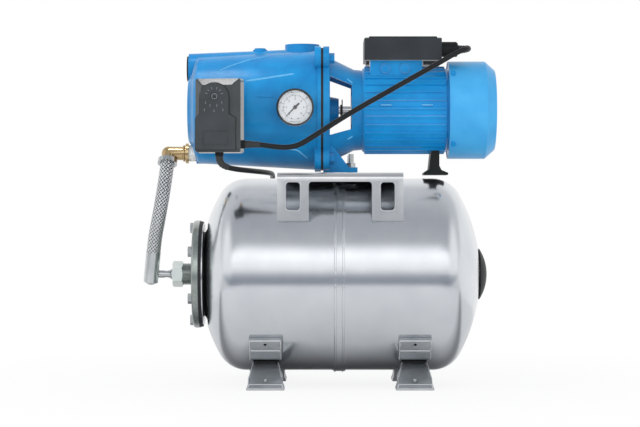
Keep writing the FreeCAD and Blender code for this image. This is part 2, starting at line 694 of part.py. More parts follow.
turned_part("tank_shell_left", [
    ("seam_half", BELL_INNER),
    ("-seam_half", BELL_INNER),
    ("-seam_half - seam_step", INNER_RADIUS),
    ("-tank_half", INNER_RADIUS),
    ("-" + inside[0], inside[1], "knuckle_radius - tank_wall", "left"),
    ("-" + crown_x("seat_radius", "tank_wall"), "seat_radius", "crown_radius - tank_wall", "left"),
    ("-(%s - tank_wall)" % SEAT, "seat_radius - seat_step"),
    ("-(%s - tank_wall)" % SEAT, NECK_INNER),
    ("-" + RIM_FACE, NECK_INNER),
    ("-" + RIM_FACE, "rim_radius"),
    ("-" + RIM, "rim_radius"),
    ("-" + RIM, "neck_radius"),
    ("-" + SEAT, "neck_radius"),
    ("-" + SEAT, "seat_radius - seat_step"),
    ("-" + crown_x("seat_radius"), "seat_radius"),
    ("-" + skin[0], skin[1], "crown_radius", "right"),
    ("-tank_half", "tank_radius", "knuckle_radius", "right"),
    ("-seam_half - seam_step", "tank_radius"),
    ("-seam_half", BELL_OUTER),
    ("seam_half", BELL_OUTER),
], z=TANK_LEVEL)
left_shell = nodes[-1]


def flange_holes(body, radius, start, length):
    """Six holes for the flange bolts, one of them straight above the axis."""
    sketch = new_sketch(body, "YZ_Plane", start)
    ring(sketch, "0", "flange_circle", radius)
    hole = pocket(body, sketch, length, reverse=True)
    return around(body, [hole], "X", "flange_bolts")


flange_holes(left_shell, "flange_bolt_radius + bolt_gap", "-(%s + 1)" % RIM_FACE, "rim_thick + 2")

NIPPLE_TIP = "(%s + nipple_length)" % FLANGE_FACE
flange = turned_part("tank_flange", [
    ("-" + FLANGE_BACK, "nipple_bore"),
    ("-" + NIPPLE_TIP, "nipple_bore"),
    ("-" + NIPPLE_TIP, "nipple_radius"),
    ("-" + FLANGE_FACE, "nipple_radius"),
    ("-" + FLANGE_FACE, "flange_radius - flange_edge"),
    ("-%s + flange_edge" % FLANGE_FACE, "flange_radius", "flange_edge", "right"),
    ("-" + FLANGE_BACK, "flange_radius"),
], z=TANK_LEVEL)
flange_holes(flange, "flange_bolt_radius + bolt_gap", "-(%s + 1)" % FLANGE_FACE, "flange_thick + 2")

# The bladder's lip is clamped between rim and flange and folds over the rim
membrane = turned_part("membrane", [
    ("-" + FLANGE_BACK, "lip_inner"),
    ("-" + FLANGE_BACK, "lip_radius"),
    ("-(%s + 1.5)" % RIM, "lip_radius - 1"),
    ("-(%s + 1.5)" % RIM, "rim_radius + fit_gap"),
    ("-" + RIM_FACE, "rim_radius + fit_gap"),
    ("-" + RIM_FACE, "lip_inner + membrane_wall"),
    ("-(%s - 8)" % SEAT, "lip_inner + membrane_wall"),
    ("-(membrane_half + 20)", "membrane_radius"),
    ("membrane_half - membrane_bend", "membrane_radius"),
    ("membrane_half", "membrane_radius - membrane_bend", "membrane_bend", "right"),
    ("membrane_half", "0"),
    ("membrane_half - membrane_wall", "0"),
    ("membrane_half - membrane_wall", "membrane_radius - membrane_bend"),
    ("membrane_half - membrane_bend", "membrane_radius - membrane_wall",
     "membrane_bend - membrane_wall", "left"),
    ("-(membrane_half + 20 - membrane_wall/2)", "membrane_radius - membrane_wall"),
    ("-(%s - 8 - membrane_wall)" % SEAT, "lip_inner"),
], z=TANK_LEVEL)
flange_holes(membrane, "flange_bolt_radius + bolt_gap", "-(%s + 1)" % FLANGE_BACK, "lip_thick + 2")

turned_part("neck_cover", [
    ("-(%s + fit_gap)" % SEAT, "neck_radius + fit_gap"),
    ("-(%s - fit_gap)" % RIM, "neck_radius + fit_gap"),
    ("-(%s - fit_gap)" % RIM, "cover_valley"),
    ("-(%s - fit_gap - cover_land)" % RIM, "cover_valley"),
    ("-(%s + fit_gap + cover_land)" % SEAT, "cover_edge"),
    ("-(%s + fit_gap)" % SEAT, "cover_edge"),
], z=TANK_LEVEL)

bolts = new_body("flange_bolts")
hexed = new_sketch(bolts, "YZ_Plane", "-" + FLANGE_FACE)
loop(hexed, [(y, "flange_circle + (%s)" % z) for y, z in hexagon_points("flange_head_across")])
head = pad(bolts, hexed, "flange_head", reverse=True)
shank_sketch = new_sketch(bolts, "YZ_Plane", "-" + FLANGE_FACE)
ring(shank_sketch, "0", "flange_circle", "flange_bolt_radius")
shank = pad(bolts, shank_sketch, "%s - %s" % (FLANGE_FACE, RIM))
around(bolts, [head, shank], "X", "flange_bolts")
put(bolts, z=TANK_LEVEL)

# Air valve in the right head, under its cap
VALVE_SEAT = crown_x(valve_hole)
turned_part("air_valve_stem", [
    (VALVE_SEAT + " - valve_shank", "valve_bore"),
    (VALVE_SEAT + " + valve_length", "valve_bore"),
    (VALVE_SEAT + " + valve_length", "valve_tip_radius"),
    (VALVE_SEAT + " + 2", "valve_tip_radius"),
    (VALVE_SEAT + " + 2", "valve_radius"),
    (VALVE_SEAT + " - valve_shank", "valve_radius"),
], z=TANK_LEVEL)
turned_part("air_valve_core", [
    (VALVE_SEAT + " - 4", "0"),
    (VALVE_SEAT + " + valve_length - 0.6", "0"),
    (VALVE_SEAT + " + valve_length - 0.6", "valve_pin_radius"),
    (VALVE_SEAT + " + 3", "valve_pin_radius"),
    (VALVE_SEAT + " + 3", "valve_bore - running_gap"),
    (VALVE_SEAT + " - 4", "valve_bore - running_gap"),
], z=TANK_LEVEL)
CAP_SEAT = "(%s + fit_gap)" % crown_x("valve_cap_radius")
turned_part("air_valve_cap", [
    (CAP_SEAT, "valve_cap_radius - valve_cap_wall"),
    (CAP_SEAT + " + valve_cap_rim", "valve_cap_radius - valve_cap_wall"),
    (CAP_SEAT + " + valve_cap_height - valve_cap_wall", "0", "valve_cap_dome - valve_cap_wall", "right"),
    (CAP_SEAT + " + valve_cap_height", "0"),
    (CAP_SEAT + " + valve_cap_rim", "valve_cap_radius", "valve_cap_dome", "left"),
    (CAP_SEAT, "valve_cap_radius"),
], z=TANK_LEVEL)


# Top bracket: one bent sheet with four legs that stand on the vessel
def hidden_body(name):
    return doc.addObject("PartDesign::Body", name)


def prism(name, plane, points, length, offset=0, middle=True):
    """Extruded outline, used only as a step towards a node."""
    body = hidden_body(name)
    sketch = new_sketch(body, plane, offset)
    loop(sketch, points)
    pad(body, sketch, length, middle=middle)
    return body


LEG_END = "(%s + %s + fit_gap)" % (TANK_LEVEL, "sqrt(tank_radius^2 - (plate_half_y - plate_sheet)^2)")
PLATE_UNDER = "(plate_level - plate_sheet)"
bracket = new_body("top_bracket")
section = new_sketch(bracket, "YZ_Plane")
loop(section, [
    ("-plate_half_y", LEG_END),
    ("-plate_half_y + plate_sheet", LEG_END),
    ("-plate_half_y + plate_sheet", "plate_level - bend_radius"),
    ("-plate_half_y + bend_radius", PLATE_UNDER, "bend_radius - plate_sheet", "right"),
    ("plate_half_y - bend_radius", PLATE_UNDER),
    ("plate_half_y - plate_sheet", "plate_level - bend_radius", "bend_radius - plate_sheet", "right"),
    ("plate_half_y - plate_sheet", LEG_END),
    ("plate_half_y", LEG_END),
    ("plate_half_y", "plate_level - bend_radius"),
    ("plate_half_y - bend_radius", "plate_level", "bend_radius", "left"),
    ("-plate_half_y + bend_radius", "plate_level"),
    ("-plate_half_y", "plate_level - bend_radius", "bend_radius", "left"),
])
pad(bracket, section, "2*plate_half_x", middle=True)
openings = new_sketch(bracket, "XZ_Plane")
LEG_INNER = "plate_half_x - leg_width"
loop(openings, [
    ("-(%s)" % LEG_INNER, LEG_END + " - 1"),
    (LEG_INNER, LEG_END + " - 1"),
    (LEG_INNER, "slot_top - slot_corner"),
    (LEG_INNER + " - slot_corner", "slot_top", "slot_corner", "left"),
    ("-(%s) + slot_corner" % LEG_INNER, "slot_top"),
    ("-(%s)" % LEG_INNER, "slot_top - slot_corner", "slot_corner", "left"),
])
for side in ("", "-"):
    centre = side + "(plate_half_x - leg_width/2)"
    near, far = centre + " - slot_width/2", centre + " + slot_width/2"
    loop(openings, [
        (near + " + slot_corner", "slot_bottom"),
        (far + " - slot_corner", "slot_bottom"),
        (far, "slot_bottom + slot_corner", "slot_corner", "left"),
        (far, "slot_top - slot_corner"),
        (far + " - slot_corner", "slot_top", "slot_corner", "left"),
        (near + " + slot_corner", "slot_top"),
        (near, "slot_top - slot_corner", "slot_corner", "left"),
        (near, "slot_bottom + slot_corner"),
        (near + " + slot_corner", "slot_bottom", "slot_corner", "left"),
    ][1:])
pocket(bracket, openings)
stud_holes = new_sketch(bracket, "XY_Plane", PLATE_UNDER + " - 1")
for side in ("", "-"):
    ring(stud_holes, "foot_bolt_x", side + "foot_bolt_y", "foot_bolt_radius + bolt_gap")
pocket(bracket, stud_holes, "plate_sheet + 2", reverse=True)

# Feet: a hollow pressing with a pad against the vessel, a fold, a flared leg and a stepped toe
FOOT_Y = "foot_spacing_y/2"
TOE = "-(%s + toe_reach)" % FOOT_Y


def foot_side(inset, low):
    """Side outline of the leg, all of it a sheet further in if an inset is given."""
    return [
        (TOE + " + %s" % inset, low),
        (TOE + " + toe_slope + %s" % inset, "toe_height - %s/2" % inset),
        ("-(%s) + step_reach + %s/2" % (FOOT_Y, inset), "step_height - %s" % inset),
        ("-leg_top_y + %s" % inset, "leg_top - %s" % inset),
        ("-leg_top_y + %s" % inset, "fold_top"),
        ("-foot_back_y - %s" % inset, "fold_top"),
        ("-foot_back_y - %s" % inset, low),
    ]


def foot_front(inset, low):
    """Front outline of the leg."""
    half = [("foot_width/2", low), ("foot_step_width/2", "toe_height"), ("foot_step_width/2", "step_height"),
            ("foot_neck/2", "leg_top"), ("foot_neck/2", "fold_top")]
    right = [("%s - %s" % (x, inset), z) for x, z in half]
    left = [("-(%s)" % x, z) for x, z in reversed(right)]
    return right + left


def pad_sector(inner, outer, top, bottom):
    """Part of a ring under the vessel's flank, between two angles below the horizontal."""
    def spot(radius, angle):
        return ("-(%s)*cos(%s)" % (radius, angle), "%s - (%s)*sin(%s)" % (TANK_LEVEL, radius, angle))
    return [spot(outer, top), spot(outer, bottom) + (outer, "left"),
            spot(inner, bottom), spot(inner, top) + (inner, "right")]


leg_outer = doc.addObject("Part::MultiCommon", "leg_outer")
leg_outer.Shapes = [prism("leg_side", "YZ_Plane", foot_side("0", "0"), "2*foot_width"),
                    prism("leg_front", "XZ_Plane", foot_front("0", "0"), "6*foot_width")]
leg_inner = doc.addObject("Part::MultiCommon", "leg_inner")
leg_inner.Shapes = [prism("leg_hollow_side", "YZ_Plane", foot_side("foot_sheet", "-1"), "2*foot_width"),
                    prism("leg_hollow_front", "XZ_Plane", foot_front("foot_sheet", "-1"), "6*foot_width")]
PAD_SKIN = "tank_radius + pad_stand"
foot_pad = prism("foot_pad", "YZ_Plane",
                 pad_sector("tank_radius", PAD_SKIN, "pad_top_angle", "pad_bottom_angle"), "foot_pad_width")
pad_hollow = prism("pad_hollow", "YZ_Plane",
                   pad_sector("tank_radius - 1", PAD_SKIN + " - foot_sheet", "pad_top_angle + 1", "pad_bottom_angle + 5"),
                   "foot_pad_width - 2*foot_sheet")
vessel = rod("vessel_room", "tank_radius + fit_gap", "6*foot_width", "-3*foot_width", 0, TANK_LEVEL, "X")
roof = rod("foot_roof", "tank_radius + fit_gap + foot_sheet", "6*foot_width", "-3*foot_width", 0, TANK_LEVEL, "X")
toe_neck = rod("toe_neck", "foot_hole_radius + foot_neck_wall", "step_height", 0, "-%s" % FOOT_Y, 0)
leg_hollow = minus("leg_hollow", leg_inner, [roof, toe_neck])
toe_hole = rod("toe_hole", "foot_hole_radius", "2*step_height", 0, "-%s" % FOOT_Y, "-1")
pad_hole = rod("pad_hole", "pad_hole_radius", "4*pad_stand", 0, 0, 0)
pad_angle = "(pad_top_angle + pad_hole_down)"
put(pad_hole, 0, "-(tank_radius + 3*pad_stand)*cos(%s)" % pad_angle,
    "%s - (tank_radius + 3*pad_stand)*sin(%s)" % (TANK_LEVEL, pad_angle))
bind(pad_hole, ".Placement.Rotation.Angle", "90 - (%s)" % pad_angle)
pad_hole.Placement.Rotation = FreeCAD.Rotation(V(-1, 0, 0), 90 - number(pad_angle))
foot_shell = joined("foot_shell", [leg_outer, foot_pad])
one_foot = minus("one_foot", foot_shell, [vessel, leg_hollow, pad_hollow, toe_hole, pad_hole])


rear_foot = doc.addObject("Part::Mirroring", "rear_foot")
rear_foot.Source = one_foot
rear_foot.Normal = V(0, 1, 0)
rear_foot.Base = V(0, 0, 0)
corners = []
for source in (one_foot, rear_foot):
    for side in ("", "-"):
        corner = doc.addObject("Part::Compound", source.Name + "_placed")
        corner.Links = [source]
        corners.append(put(corner, x=side + "foot_spacing_x/2"))
group_of("feet", corners)


def lobe_spots():
    return [(sy + "lobe_y", sz + "lobe_z") for sy in ("", "-") for sz in ("", "-")]


def discs(body, plane, offset, spots, radius, length, reverse=False, cut=False):
    """Equal round pads or pockets at several places."""
    sketch = new_sketch(body, plane, offset)
    for x, y in spots:
        ring(sketch, x, y, radius)
    if cut:
        return pocket(body, sketch, length, reverse=reverse)
    return pad(body, sketch, length, reverse=reverse)


def bolt_set(label, spots, face, across, head_height, radius, length, outward, x=0, y=0, z=0, plane="YZ_Plane"):
    """Equal hexagon bolts in one node. The heads stand on the face, the shanks go the other way."""
    body = new_body(label)
    heads = new_sketch(body, plane, face)
    for u, v in spots:
        loop(heads, [("%s + (%s)" % (u, a), "%s + (%s)" % (v, b)) for a, b in hexagon_points(across)])
    pad(body, heads, head_height, reverse=not outward)
    discs(body, plane, face, spots, radius, length, reverse=outward)
    return put(body, x, y, z)


# Casing of the pump: a tapered drum with ports cast on, and its water chamber
CHAMBER = "(casing_left + casing_wall + 2)"
drum = hidden_body("casing_drum")
spun(drum, [
    ("casing_left", "0"),
    ("casing_left", "end_radius"),
    ("casing_left + shoulder_x/2", "end_radius + shoulder_rise/4"),
    ("casing_left + shoulder_x", "drum_small - 6"),
    ("casing_left + shoulder_x + 4", "drum_small"),
    ("casing_joint - joint_disc", "drum_large"),
    ("casing_joint - joint_disc", "joint_radius"),
    ("casing_joint", "joint_radius"),
    ("casing_joint", "0"),
])
discs(drum, "YZ_Plane", "casing_joint", lobe_spots(), "lobe_radius", "casing_flange", reverse=True)
put(drum, z="pump_level")
channel = doc.addObject("Part::Cone", "suction_channel")
bind(channel, "Radius1", "suction_boss_radius")
bind(channel, "Radius2", "channel_end_radius")
bind(channel, "Height", "channel_end - casing_left")
put(channel, "casing_left", 0, "pump_level + suction_rise", FreeCAD.Rotation(V(0, 1, 0), 90))
delivery_boss = rod("delivery_boss", "delivery_boss_radius", "delivery_top - suction_rise",
                    "delivery_x", 0, "pump_level + suction_rise")
priming_boss = rod("priming_boss", "priming_boss_radius", "priming_top - suction_rise",
                   "priming_x", 0, "pump_level + suction_rise")
gauge_boss = rod("gauge_boss", "gauge_boss_radius", "gauge_boss_reach - joint_radius/2",
                 "gauge_x", "-gauge_boss_reach", "pump_level - gauge_drop", "Y")
SWITCH_TURN = FreeCAD.Rotation(V(0, 0, 1), -number("switch_yaw"))
switch_boss = rod("switch_boss", "switch_boss_radius", "switch_boss_reach - drum_small/2")
switch_boss.Placement.Rotation = SWITCH_TURN.multiply(FreeCAD.Rotation(V(1, 0, 0), -90))
put(switch_boss, "switch_x", "-switch_boss_reach", "switch_level")
outlet_boss = rod("outlet_boss", "outlet_boss_radius", "outlet_boss_length", "outlet_face", 0,
                  "pump_level - outlet_drop", "X")
lobe_mass = joined("casing_mass", [drum, channel, delivery_boss, priming_boss, gauge_boss, switch_boss,
                                   outlet_boss])
chamber = hidden_body("water_chamber")
spun(chamber, [
    (CHAMBER, "0"),
    (CHAMBER, "end_radius - casing_wall"),
    ("casing_left + shoulder_x + casing_wall", "drum_small - casing_wall - 8"),
    ("casing_left + shoulder_x + 2*casing_wall", "drum_small - casing_wall"),
    ("casing_joint - joint_disc", "drum_large - casing_wall"),
    ("casing_joint + 1", "drum_large - casing_wall"),
    ("casing_joint + 1", "0"),
])
put(chamber, z="pump_level")
suction_bore = rod("suction_bore", "port_radius", "port_depth", "casing_left - 1", 0,
                   "pump_level + suction_rise", "X")
suction_way = rod("suction_way", "port_radius - 3", "2*port_depth", "casing_left", 0,
                  "pump_level + suction_rise", "X")
delivery_bore = rod("delivery_bore", "port_radius", "port_depth", "delivery_x", 0,
                    "pump_level + delivery_top - port_depth + 1")
priming_bore = rod("priming_bore", "priming_radius", "2*port_depth", "priming_x", 0,
                   "pump_level + priming_top - port_depth")
gauge_bore = rod("gauge_bore", "gauge_stem_radius + fit_gap/2", "2*casing_wall + 6", "gauge_x",
                 "-gauge_boss_reach - 1", "pump_level - gauge_drop", "Y")
switch_bore = rod("switch_bore", "switch_nipple_radius + fit_gap/2", "2*casing_wall + 4")
switch_bore.Placement.Rotation = SWITCH_TURN.multiply(FreeCAD.Rotation(V(1, 0, 0), -90))
put(switch_bore, "switch_x", "-switch_boss_reach - 1", "switch_level")
outlet_bore = rod("outlet_bore", "outlet_radius + fit_gap/2", "outlet_boss_length + casing_wall",
                  "outlet_face - 12", 0, "pump_level - outlet_drop", "X")
bolt_room = hidden_body("casing_bolt_room")
discs(bolt_room, "YZ_Plane", "casing_joint + 1", lobe_spots(), "casing_bolt_radius + bolt_gap",
      "casing_flange + 2", reverse=True)
put(bolt_room, z="pump_level")
node(minus("casing_cast", lobe_mass, [chamber, suction_bore, suction_way, delivery_bore, priming_bore,
                                           gauge_bore, switch_bore, outlet_bore, bolt_room]), "pump_casing")


gasket = new_body("casing_gasket")
BRACKET_FACE = "(casing_joint + gasket_thick)"
spun(gasket, [("casing_joint", "drum_large - casing_wall"), ("casing_joint", "joint_radius - gasket_inset"),
              (BRACKET_FACE, "joint_radius - gasket_inset"), (BRACKET_FACE, "drum_large - casing_wall")])
discs(gasket, "YZ_Plane", "casing_joint", lobe_spots(), "lobe_radius - gasket_inset", "gasket_thick")
discs(gasket, "YZ_Plane", BRACKET_FACE + " + 1", lobe_spots(), "casing_bolt_radius + bolt_gap",
      "gasket_thick + 2", cut=True)
put(gasket, z="pump_level")

turned_part("suction_port_ring", [
    ("casing_left - port_ring_thick", "port_radius + fit_gap"),
    ("casing_left - port_ring_thick", "port_ring_radius"),
    ("casing_left", "port_ring_radius"),
    ("casing_left", "port_radius + fit_gap"),
], z="pump_level + suction_rise")

# Lantern between pump and motor, with two big side windows and a foot
BRACKET_RIM = "(%s + bracket_flange)" % BRACKET_FACE
lantern = new_body("motor_bracket")
spun(lantern, [
    (BRACKET_FACE, "seal_bore"),
    (BRACKET_FACE, "joint_radius"),
    (BRACKET_RIM, "joint_radius"),
    (BRACKET_RIM, "cone_start_radius"),
    ("cone_end", "cone_end_radius"),
    ("motor_face", "lantern_radius"),
    ("motor_face", "bearing_radius + running_gap"),
    ("motor_face - bearing_width - 1", "bearing_radius + running_gap"),
    ("motor_face - bearing_width - 1", "shaft_radius + 3"),
    ("motor_face - lantern_plate - bearing_width", "shaft_radius + 3"),
    ("motor_face - lantern_plate - bearing_width", "bearing_radius + 5"),
    ("motor_face - lantern_plate", "bearing_radius + 5"),
    ("motor_face - lantern_plate", "lantern_radius - lantern_wall"),
    ("cone_end", "cone_end_radius - lantern_wall"),
    (BRACKET_RIM, "cone_start_radius - lantern_wall"),
    (BRACKET_RIM, "seal_bore"),
])
discs(lantern, "YZ_Plane", BRACKET_FACE, lobe_spots(), "lobe_radius", "bracket_flange")
window = new_sketch(lantern, "XZ_Plane")
loop(window, [
    (BRACKET_RIM + " + 1", "-window_left_low"),
    ("window_right", "-window_right_low"),
    ("window_right", "window_right_high"),
    (BRACKET_RIM + " + 1", "window_left_high"),
])
pocket(lantern, window)
hub = new_sketch(lantern, "XZ_Plane")
loop(hub, [
    (BRACKET_RIM + " - 1", "seal_bore"),
    (BRACKET_RIM + " - 1", "seal_hub_radius"),
    (BRACKET_RIM + " + seal_hub_length", "seal_hub_radius - 3"),
    (BRACKET_RIM + " + seal_hub_length", "shaft_radius + 3"),
    (BRACKET_RIM + " + seal_hub_length - 3", "shaft_radius + 3"),
    (BRACKET_RIM + " + seal_hub_length - 3", "seal_bore"),
])
hub_turned = lantern.newObject("PartDesign::Revolution", "seal_hub")
hub_turned.Profile = hub
hub_turned.ReferenceAxis = (origin_of(lantern, "X_Axis"), [""])
hub_turned.Angle = 360
lantern.Tip = hub_turned
skirt = new_sketch(lantern, "YZ_Plane", BRACKET_FACE)
FOOT_UNDER = "(plate_level - pump_level)"
loop(skirt, box_points("-pump_foot_half", "pump_foot_half", FOOT_UNDER, "-gusset_top"))
pad(lantern, skirt, "bracket_flange")
sole = new_sketch(lantern, "XY_Plane", FOOT_UNDER)
loop(sole, box_points(BRACKET_FACE, "pump_foot_end", "-pump_foot_half", "pump_foot_half"))
pad(lantern, sole, "pump_foot_thick")
for side in ("", "-"):
    gusset = new_sketch(lantern, "XZ_Plane", side + "(pump_foot_half - gusset_thick/2)")
    loop(gusset, [(BRACKET_FACE + " + 1", FOOT_UNDER + " + pump_foot_thick/2"),
                  ("gusset_end", FOOT_UNDER + " + pump_foot_thick/2"),
                  ("gusset_end", FOOT_UNDER + " + pump_foot_thick"),
                  (BRACKET_RIM, "-gusset_top"),
                  (BRACKET_FACE + " + 1", "-gusset_top")])
    pad(lantern, gusset, "gusset_thick", middle=True)
discs(lantern, "YZ_Plane", BRACKET_RIM + " + 1", lobe_spots(), "casing_bolt_radius + bolt_gap",
      "bracket_flange + 2", cut=True)
discs(lantern, "XY_Plane", FOOT_UNDER + " - 1",
      [("foot_bolt_x", "foot_bolt_y"), ("foot_bolt_x", "-foot_bolt_y")], "foot_bolt_radius + bolt_gap",
      "pump_foot_thick + 2", reverse=True, cut=True)
put(lantern, z="pump_level")
casing_bolts = bolt_set("casing_bolts", lobe_spots(), BRACKET_RIM, "casing_bolt_across", "casing_bolt_head",
         "casing_bolt_radius", "bracket_flange + gasket_thick + casing_flange - 1", True, z="pump_level")
studs = hidden_body("foot_studs")
stud_spots = [("foot_bolt_x", "foot_bolt_y"), ("foot_bolt_x", "-foot_bolt_y")]
stud_heads = new_sketch(studs, "XY_Plane", PLATE_UNDER)
for u, v in stud_spots:
    loop(stud_heads, [("%s + (%s)" % (u, a), "%s + (%s)" % (v, b)) for a, b in hexagon_points("stud_across")])
pad(studs, stud_heads, "stud_head", reverse=True)
discs(studs, "XY_Plane", PLATE_UNDER, stud_spots, "foot_bolt_radius", "stud_top - (%s)" % PLATE_UNDER)
nuts = hidden_body("foot_nuts")
nut_face = new_sketch(nuts, "XY_Plane", "plate_level + pump_foot_thick")
for u, v in stud_spots:
    loop(nut_face, [("%s + (%s)" % (u, a), "%s + (%s)" % (v, b)) for a, b in hexagon_points("stud_across")])
    ring(nut_face, u, v, "foot_bolt_radius")
pad(nuts, nut_face, "stud_nut")
nodes.remove(casing_bolts)
casing_bolts.Label = "joint_bolts"
group_of("pump_bolts", [casing_bolts, studs, nuts])


# Water parts inside the casing
turned_part("diffuser", [
    (CHAMBER + " + fit_gap", "venturi_throat + 3"),
    (CHAMBER + " + fit_gap", "venturi_radius"),
    ("diffuser_face", "venturi_radius"),
    ("diffuser_face", "diffuser_radius"),
    (BRACKET_FACE + " - fit_gap", "diffuser_radius"),
    (BRACKET_FACE + " - fit_gap", "diffuser_radius - diffuser_wall"),
    ("diffuser_face + diffuser_wall", "diffuser_radius - diffuser_wall"),
    ("diffuser_face + diffuser_wall", "eye_radius + diffuser_wall"),
    ("impeller_face - 1", "eye_radius + diffuser_wall"),
    ("impeller_face - 1", "eye_radius"),
    ("diffuser_face + diffuser_wall", "venturi_throat + 4"),
    ("diffuser_face - 2*port_depth", "venturi_throat"),
    (CHAMBER + " + port_depth", "venturi_throat"),
], z="pump_level")

impeller = new_body("impeller")
spun(impeller, [
    ("impeller_face", "eye_radius"),
    ("impeller_face", "impeller_radius"),
    ("impeller_face + shroud", "impeller_radius"),
    ("impeller_face + shroud", "eye_radius"),
])
back = new_sketch(impeller, "XZ_Plane")
loop(back, [
    ("impeller_face + shroud + blade_width", "shaft_radius"),
    ("impeller_face + shroud + blade_width", "impeller_radius"),
    ("impeller_face + 2*shroud + blade_width", "impeller_radius"),
    ("impeller_face + 2*shroud + blade_width", "hub_radius"),
    ("impeller_face + impeller_hub", "hub_radius"),
    ("impeller_face + impeller_hub", "shaft_radius"),
])
blade = new_sketch(impeller, "YZ_Plane", "impeller_face + shroud/2")
loop(blade, [
    ("-blade_thick/2", "eye_radius - 4", "blade_curve + blade_thick", "left"),
    ("blade_thick/2", "eye_radius - 4"),
    ("blade_sweep + blade_thick", "impeller_radius - 7", "blade_curve", "right"),
    ("blade_sweep", "impeller_radius - 6"),
])
blade_pad = pad(impeller, blade, "blade_width + shroud")
around(impeller, [blade_pad], "X", "blades")
back_turned = impeller.newObject("PartDesign::Revolution", "back_shroud")
back_turned.Profile = back
back_turned.ReferenceAxis = (origin_of(impeller, "X_Axis"), [""])
back_turned.Angle = 360
impeller.Tip = back_turned
put(impeller, z="pump_level")

NUT_END = "(impeller_face - nut_thick + 1)"
nut = new_body("impeller_nut")
nut_sketch = new_sketch(nut, "YZ_Plane", "impeller_face + 1")
loop(nut_sketch, hexagon_points("nut_across"))
ring(nut_sketch, "0", "0", "stud_radius")
pad(nut, nut_sketch, "nut_thick", reverse=True)
put(nut, z="pump_level")

turned_part("seal_seat", [
    (BRACKET_FACE, "shaft_radius + 1"),
    (BRACKET_FACE, "seal_bore - running_gap"),
    (BRACKET_FACE + " + seal_seat_thick", "seal_bore - running_gap"),
    (BRACKET_FACE + " + seal_seat_thick", "shaft_radius + 1"),
], z="pump_level")
turned_part("seal_ring", [
    ("impeller_face + impeller_hub", "shaft_radius"),
    ("impeller_face + impeller_hub", "seal_bore - 2"),
    (BRACKET_FACE + " - 5", "seal_bore - 2"),
    (BRACKET_FACE + " - 4", "seal_bore - 4"),
    (BRACKET_FACE + " - running_gap", "seal_bore - 4"),
    (BRACKET_FACE + " - running_gap", "shaft_radius"),
], z="pump_level")
turned_part("slinger", [
    ("slinger_x", "shaft_radius"),
    ("slinger_x - 2", "hub_radius - 3"),
    ("slinger_x", "hub_radius - 3"),
    ("slinger_x", "slinger_radius"),
    ("slinger_x + 1.5", "slinger_radius"),
    ("slinger_x + 1.5", "shaft_radius"),
], z="pump_level")

# Shaft with its seats, turned in one piece
FRONT_BEARING = "(motor_face - bearing_width - 1)"
REAR_BEARING = "(housing_end + shield_seat)"
turned_part("shaft", [
    (NUT_END + " - 1", "0"),
    (NUT_END + " - 1", "stud_radius"),
    ("impeller_face + 1", "stud_radius"),
    ("impeller_face + 1", "shaft_radius"),
    (FRONT_BEARING, "shaft_radius"),
    (FRONT_BEARING, "bearing_bore - running_gap"),
    ("motor_face - 1", "bearing_bore - running_gap"),
    ("motor_face - 1", "core_shaft_radius"),
    (REAR_BEARING, "core_shaft_radius"),
    (REAR_BEARING, "bearing_bore - running_gap"),
    (REAR_BEARING + " + bearing_width", "bearing_bore - running_gap"),
    (REAR_BEARING + " + bearing_width", "fan_bore"),
    ("fan_x + fan_hub_length + 2", "fan_bore"),
    ("fan_x + fan_hub_length + 2", "0"),
], z="pump_level")
bearings = []
for label, start in (("front_bearing", FRONT_BEARING), ("rear_bearing", REAR_BEARING)):
    bearing = hidden_body(label)
    spun(bearing, [
        (start, "bearing_bore"),
        (start, "bearing_bore + 2.5"),
        (start + " + 0.8", "bearing_bore + 2.5"),
        (start + " + 0.8", "bearing_radius - 2.5"),
        (start, "bearing_radius - 2.5"),
        (start, "bearing_radius"),
        (start + " + bearing_width", "bearing_radius"),
        (start + " + bearing_width", "bearing_radius - 2.5"),
        (start + " + bearing_width - 0.8", "bearing_radius - 2.5"),
        (start + " + bearing_width - 0.8", "bearing_bore + 2.5"),
        (start + " + bearing_width", "bearing_bore + 2.5"),
        (start + " + bearing_width", "bearing_bore"),
    ])
    bearings.append(put(bearing, z="pump_level"))
group_of("ball_bearings", bearings)
turned_part("rotor_core", [
    ("stator_start", "core_shaft_radius"),
    ("stator_start", "rotor_radius"),
    ("stator_start + stator_length", "rotor_radius"),
    ("stator_start + stator_length", "core_shaft_radius"),
], z="pump_level")
STATOR_END = "(stator_start + stator_length)"
turned_part("stator", [
    ("stator_start", "rotor_radius + air_gap"),
    ("stator_start", "rotor_radius + 4"),
    ("stator_start - winding_length", "rotor_radius + 4"),
    ("stator_start - winding_length", "stator_radius - 6"),
    ("stator_start", "stator_radius - 6"),
    ("stator_start", "stator_radius"),
    (STATOR_END, "stator_radius"),
    (STATOR_END, "stator_radius - 6"),
    (STATOR_END + " + winding_length", "stator_radius - 6"),
    (STATOR_END + " + winding_length", "rotor_radius + 4"),
    (STATOR_END, "rotor_radius + 4"),
    (STATOR_END, "rotor_radius + air_gap"),
], z="pump_level")

# Finned motor housing with the seat of the terminal box cast on
housing = new_body("motor_housing")
spun(housing, [
    ("motor_face", "stator_radius"),
    ("motor_face", "rib_root - 2"),
    ("motor_face + 2", "rib_root"),
    ("housing_end - 2", "rib_root"),
    ("housing_end", "rib_root - 2"),
    ("housing_end", "stator_radius"),
])
rib = new_sketch(housing, "YZ_Plane", "motor_face + rib_start")
loop(rib, box_points("-rib_width/2", "rib_width/2", "rib_root - 1", "housing_radius"))
rib_pad = pad(housing, rib, "housing_end - motor_face - 2*rib_start")
around(housing, [rib_pad], "X", "ribs")
seat = new_sketch(housing, "XY_Plane", "sqrt(rib_root^2 - box_seat_half^2) - 3")
loop(seat, box_points("box_seat_left", "box_seat_right", "-box_seat_half", "box_seat_half"))
BOX_UNDER = "(box_level - pump_level)"
pad(housing, seat, BOX_UNDER + " - (sqrt(rib_root^2 - box_seat_half^2) - 3)")
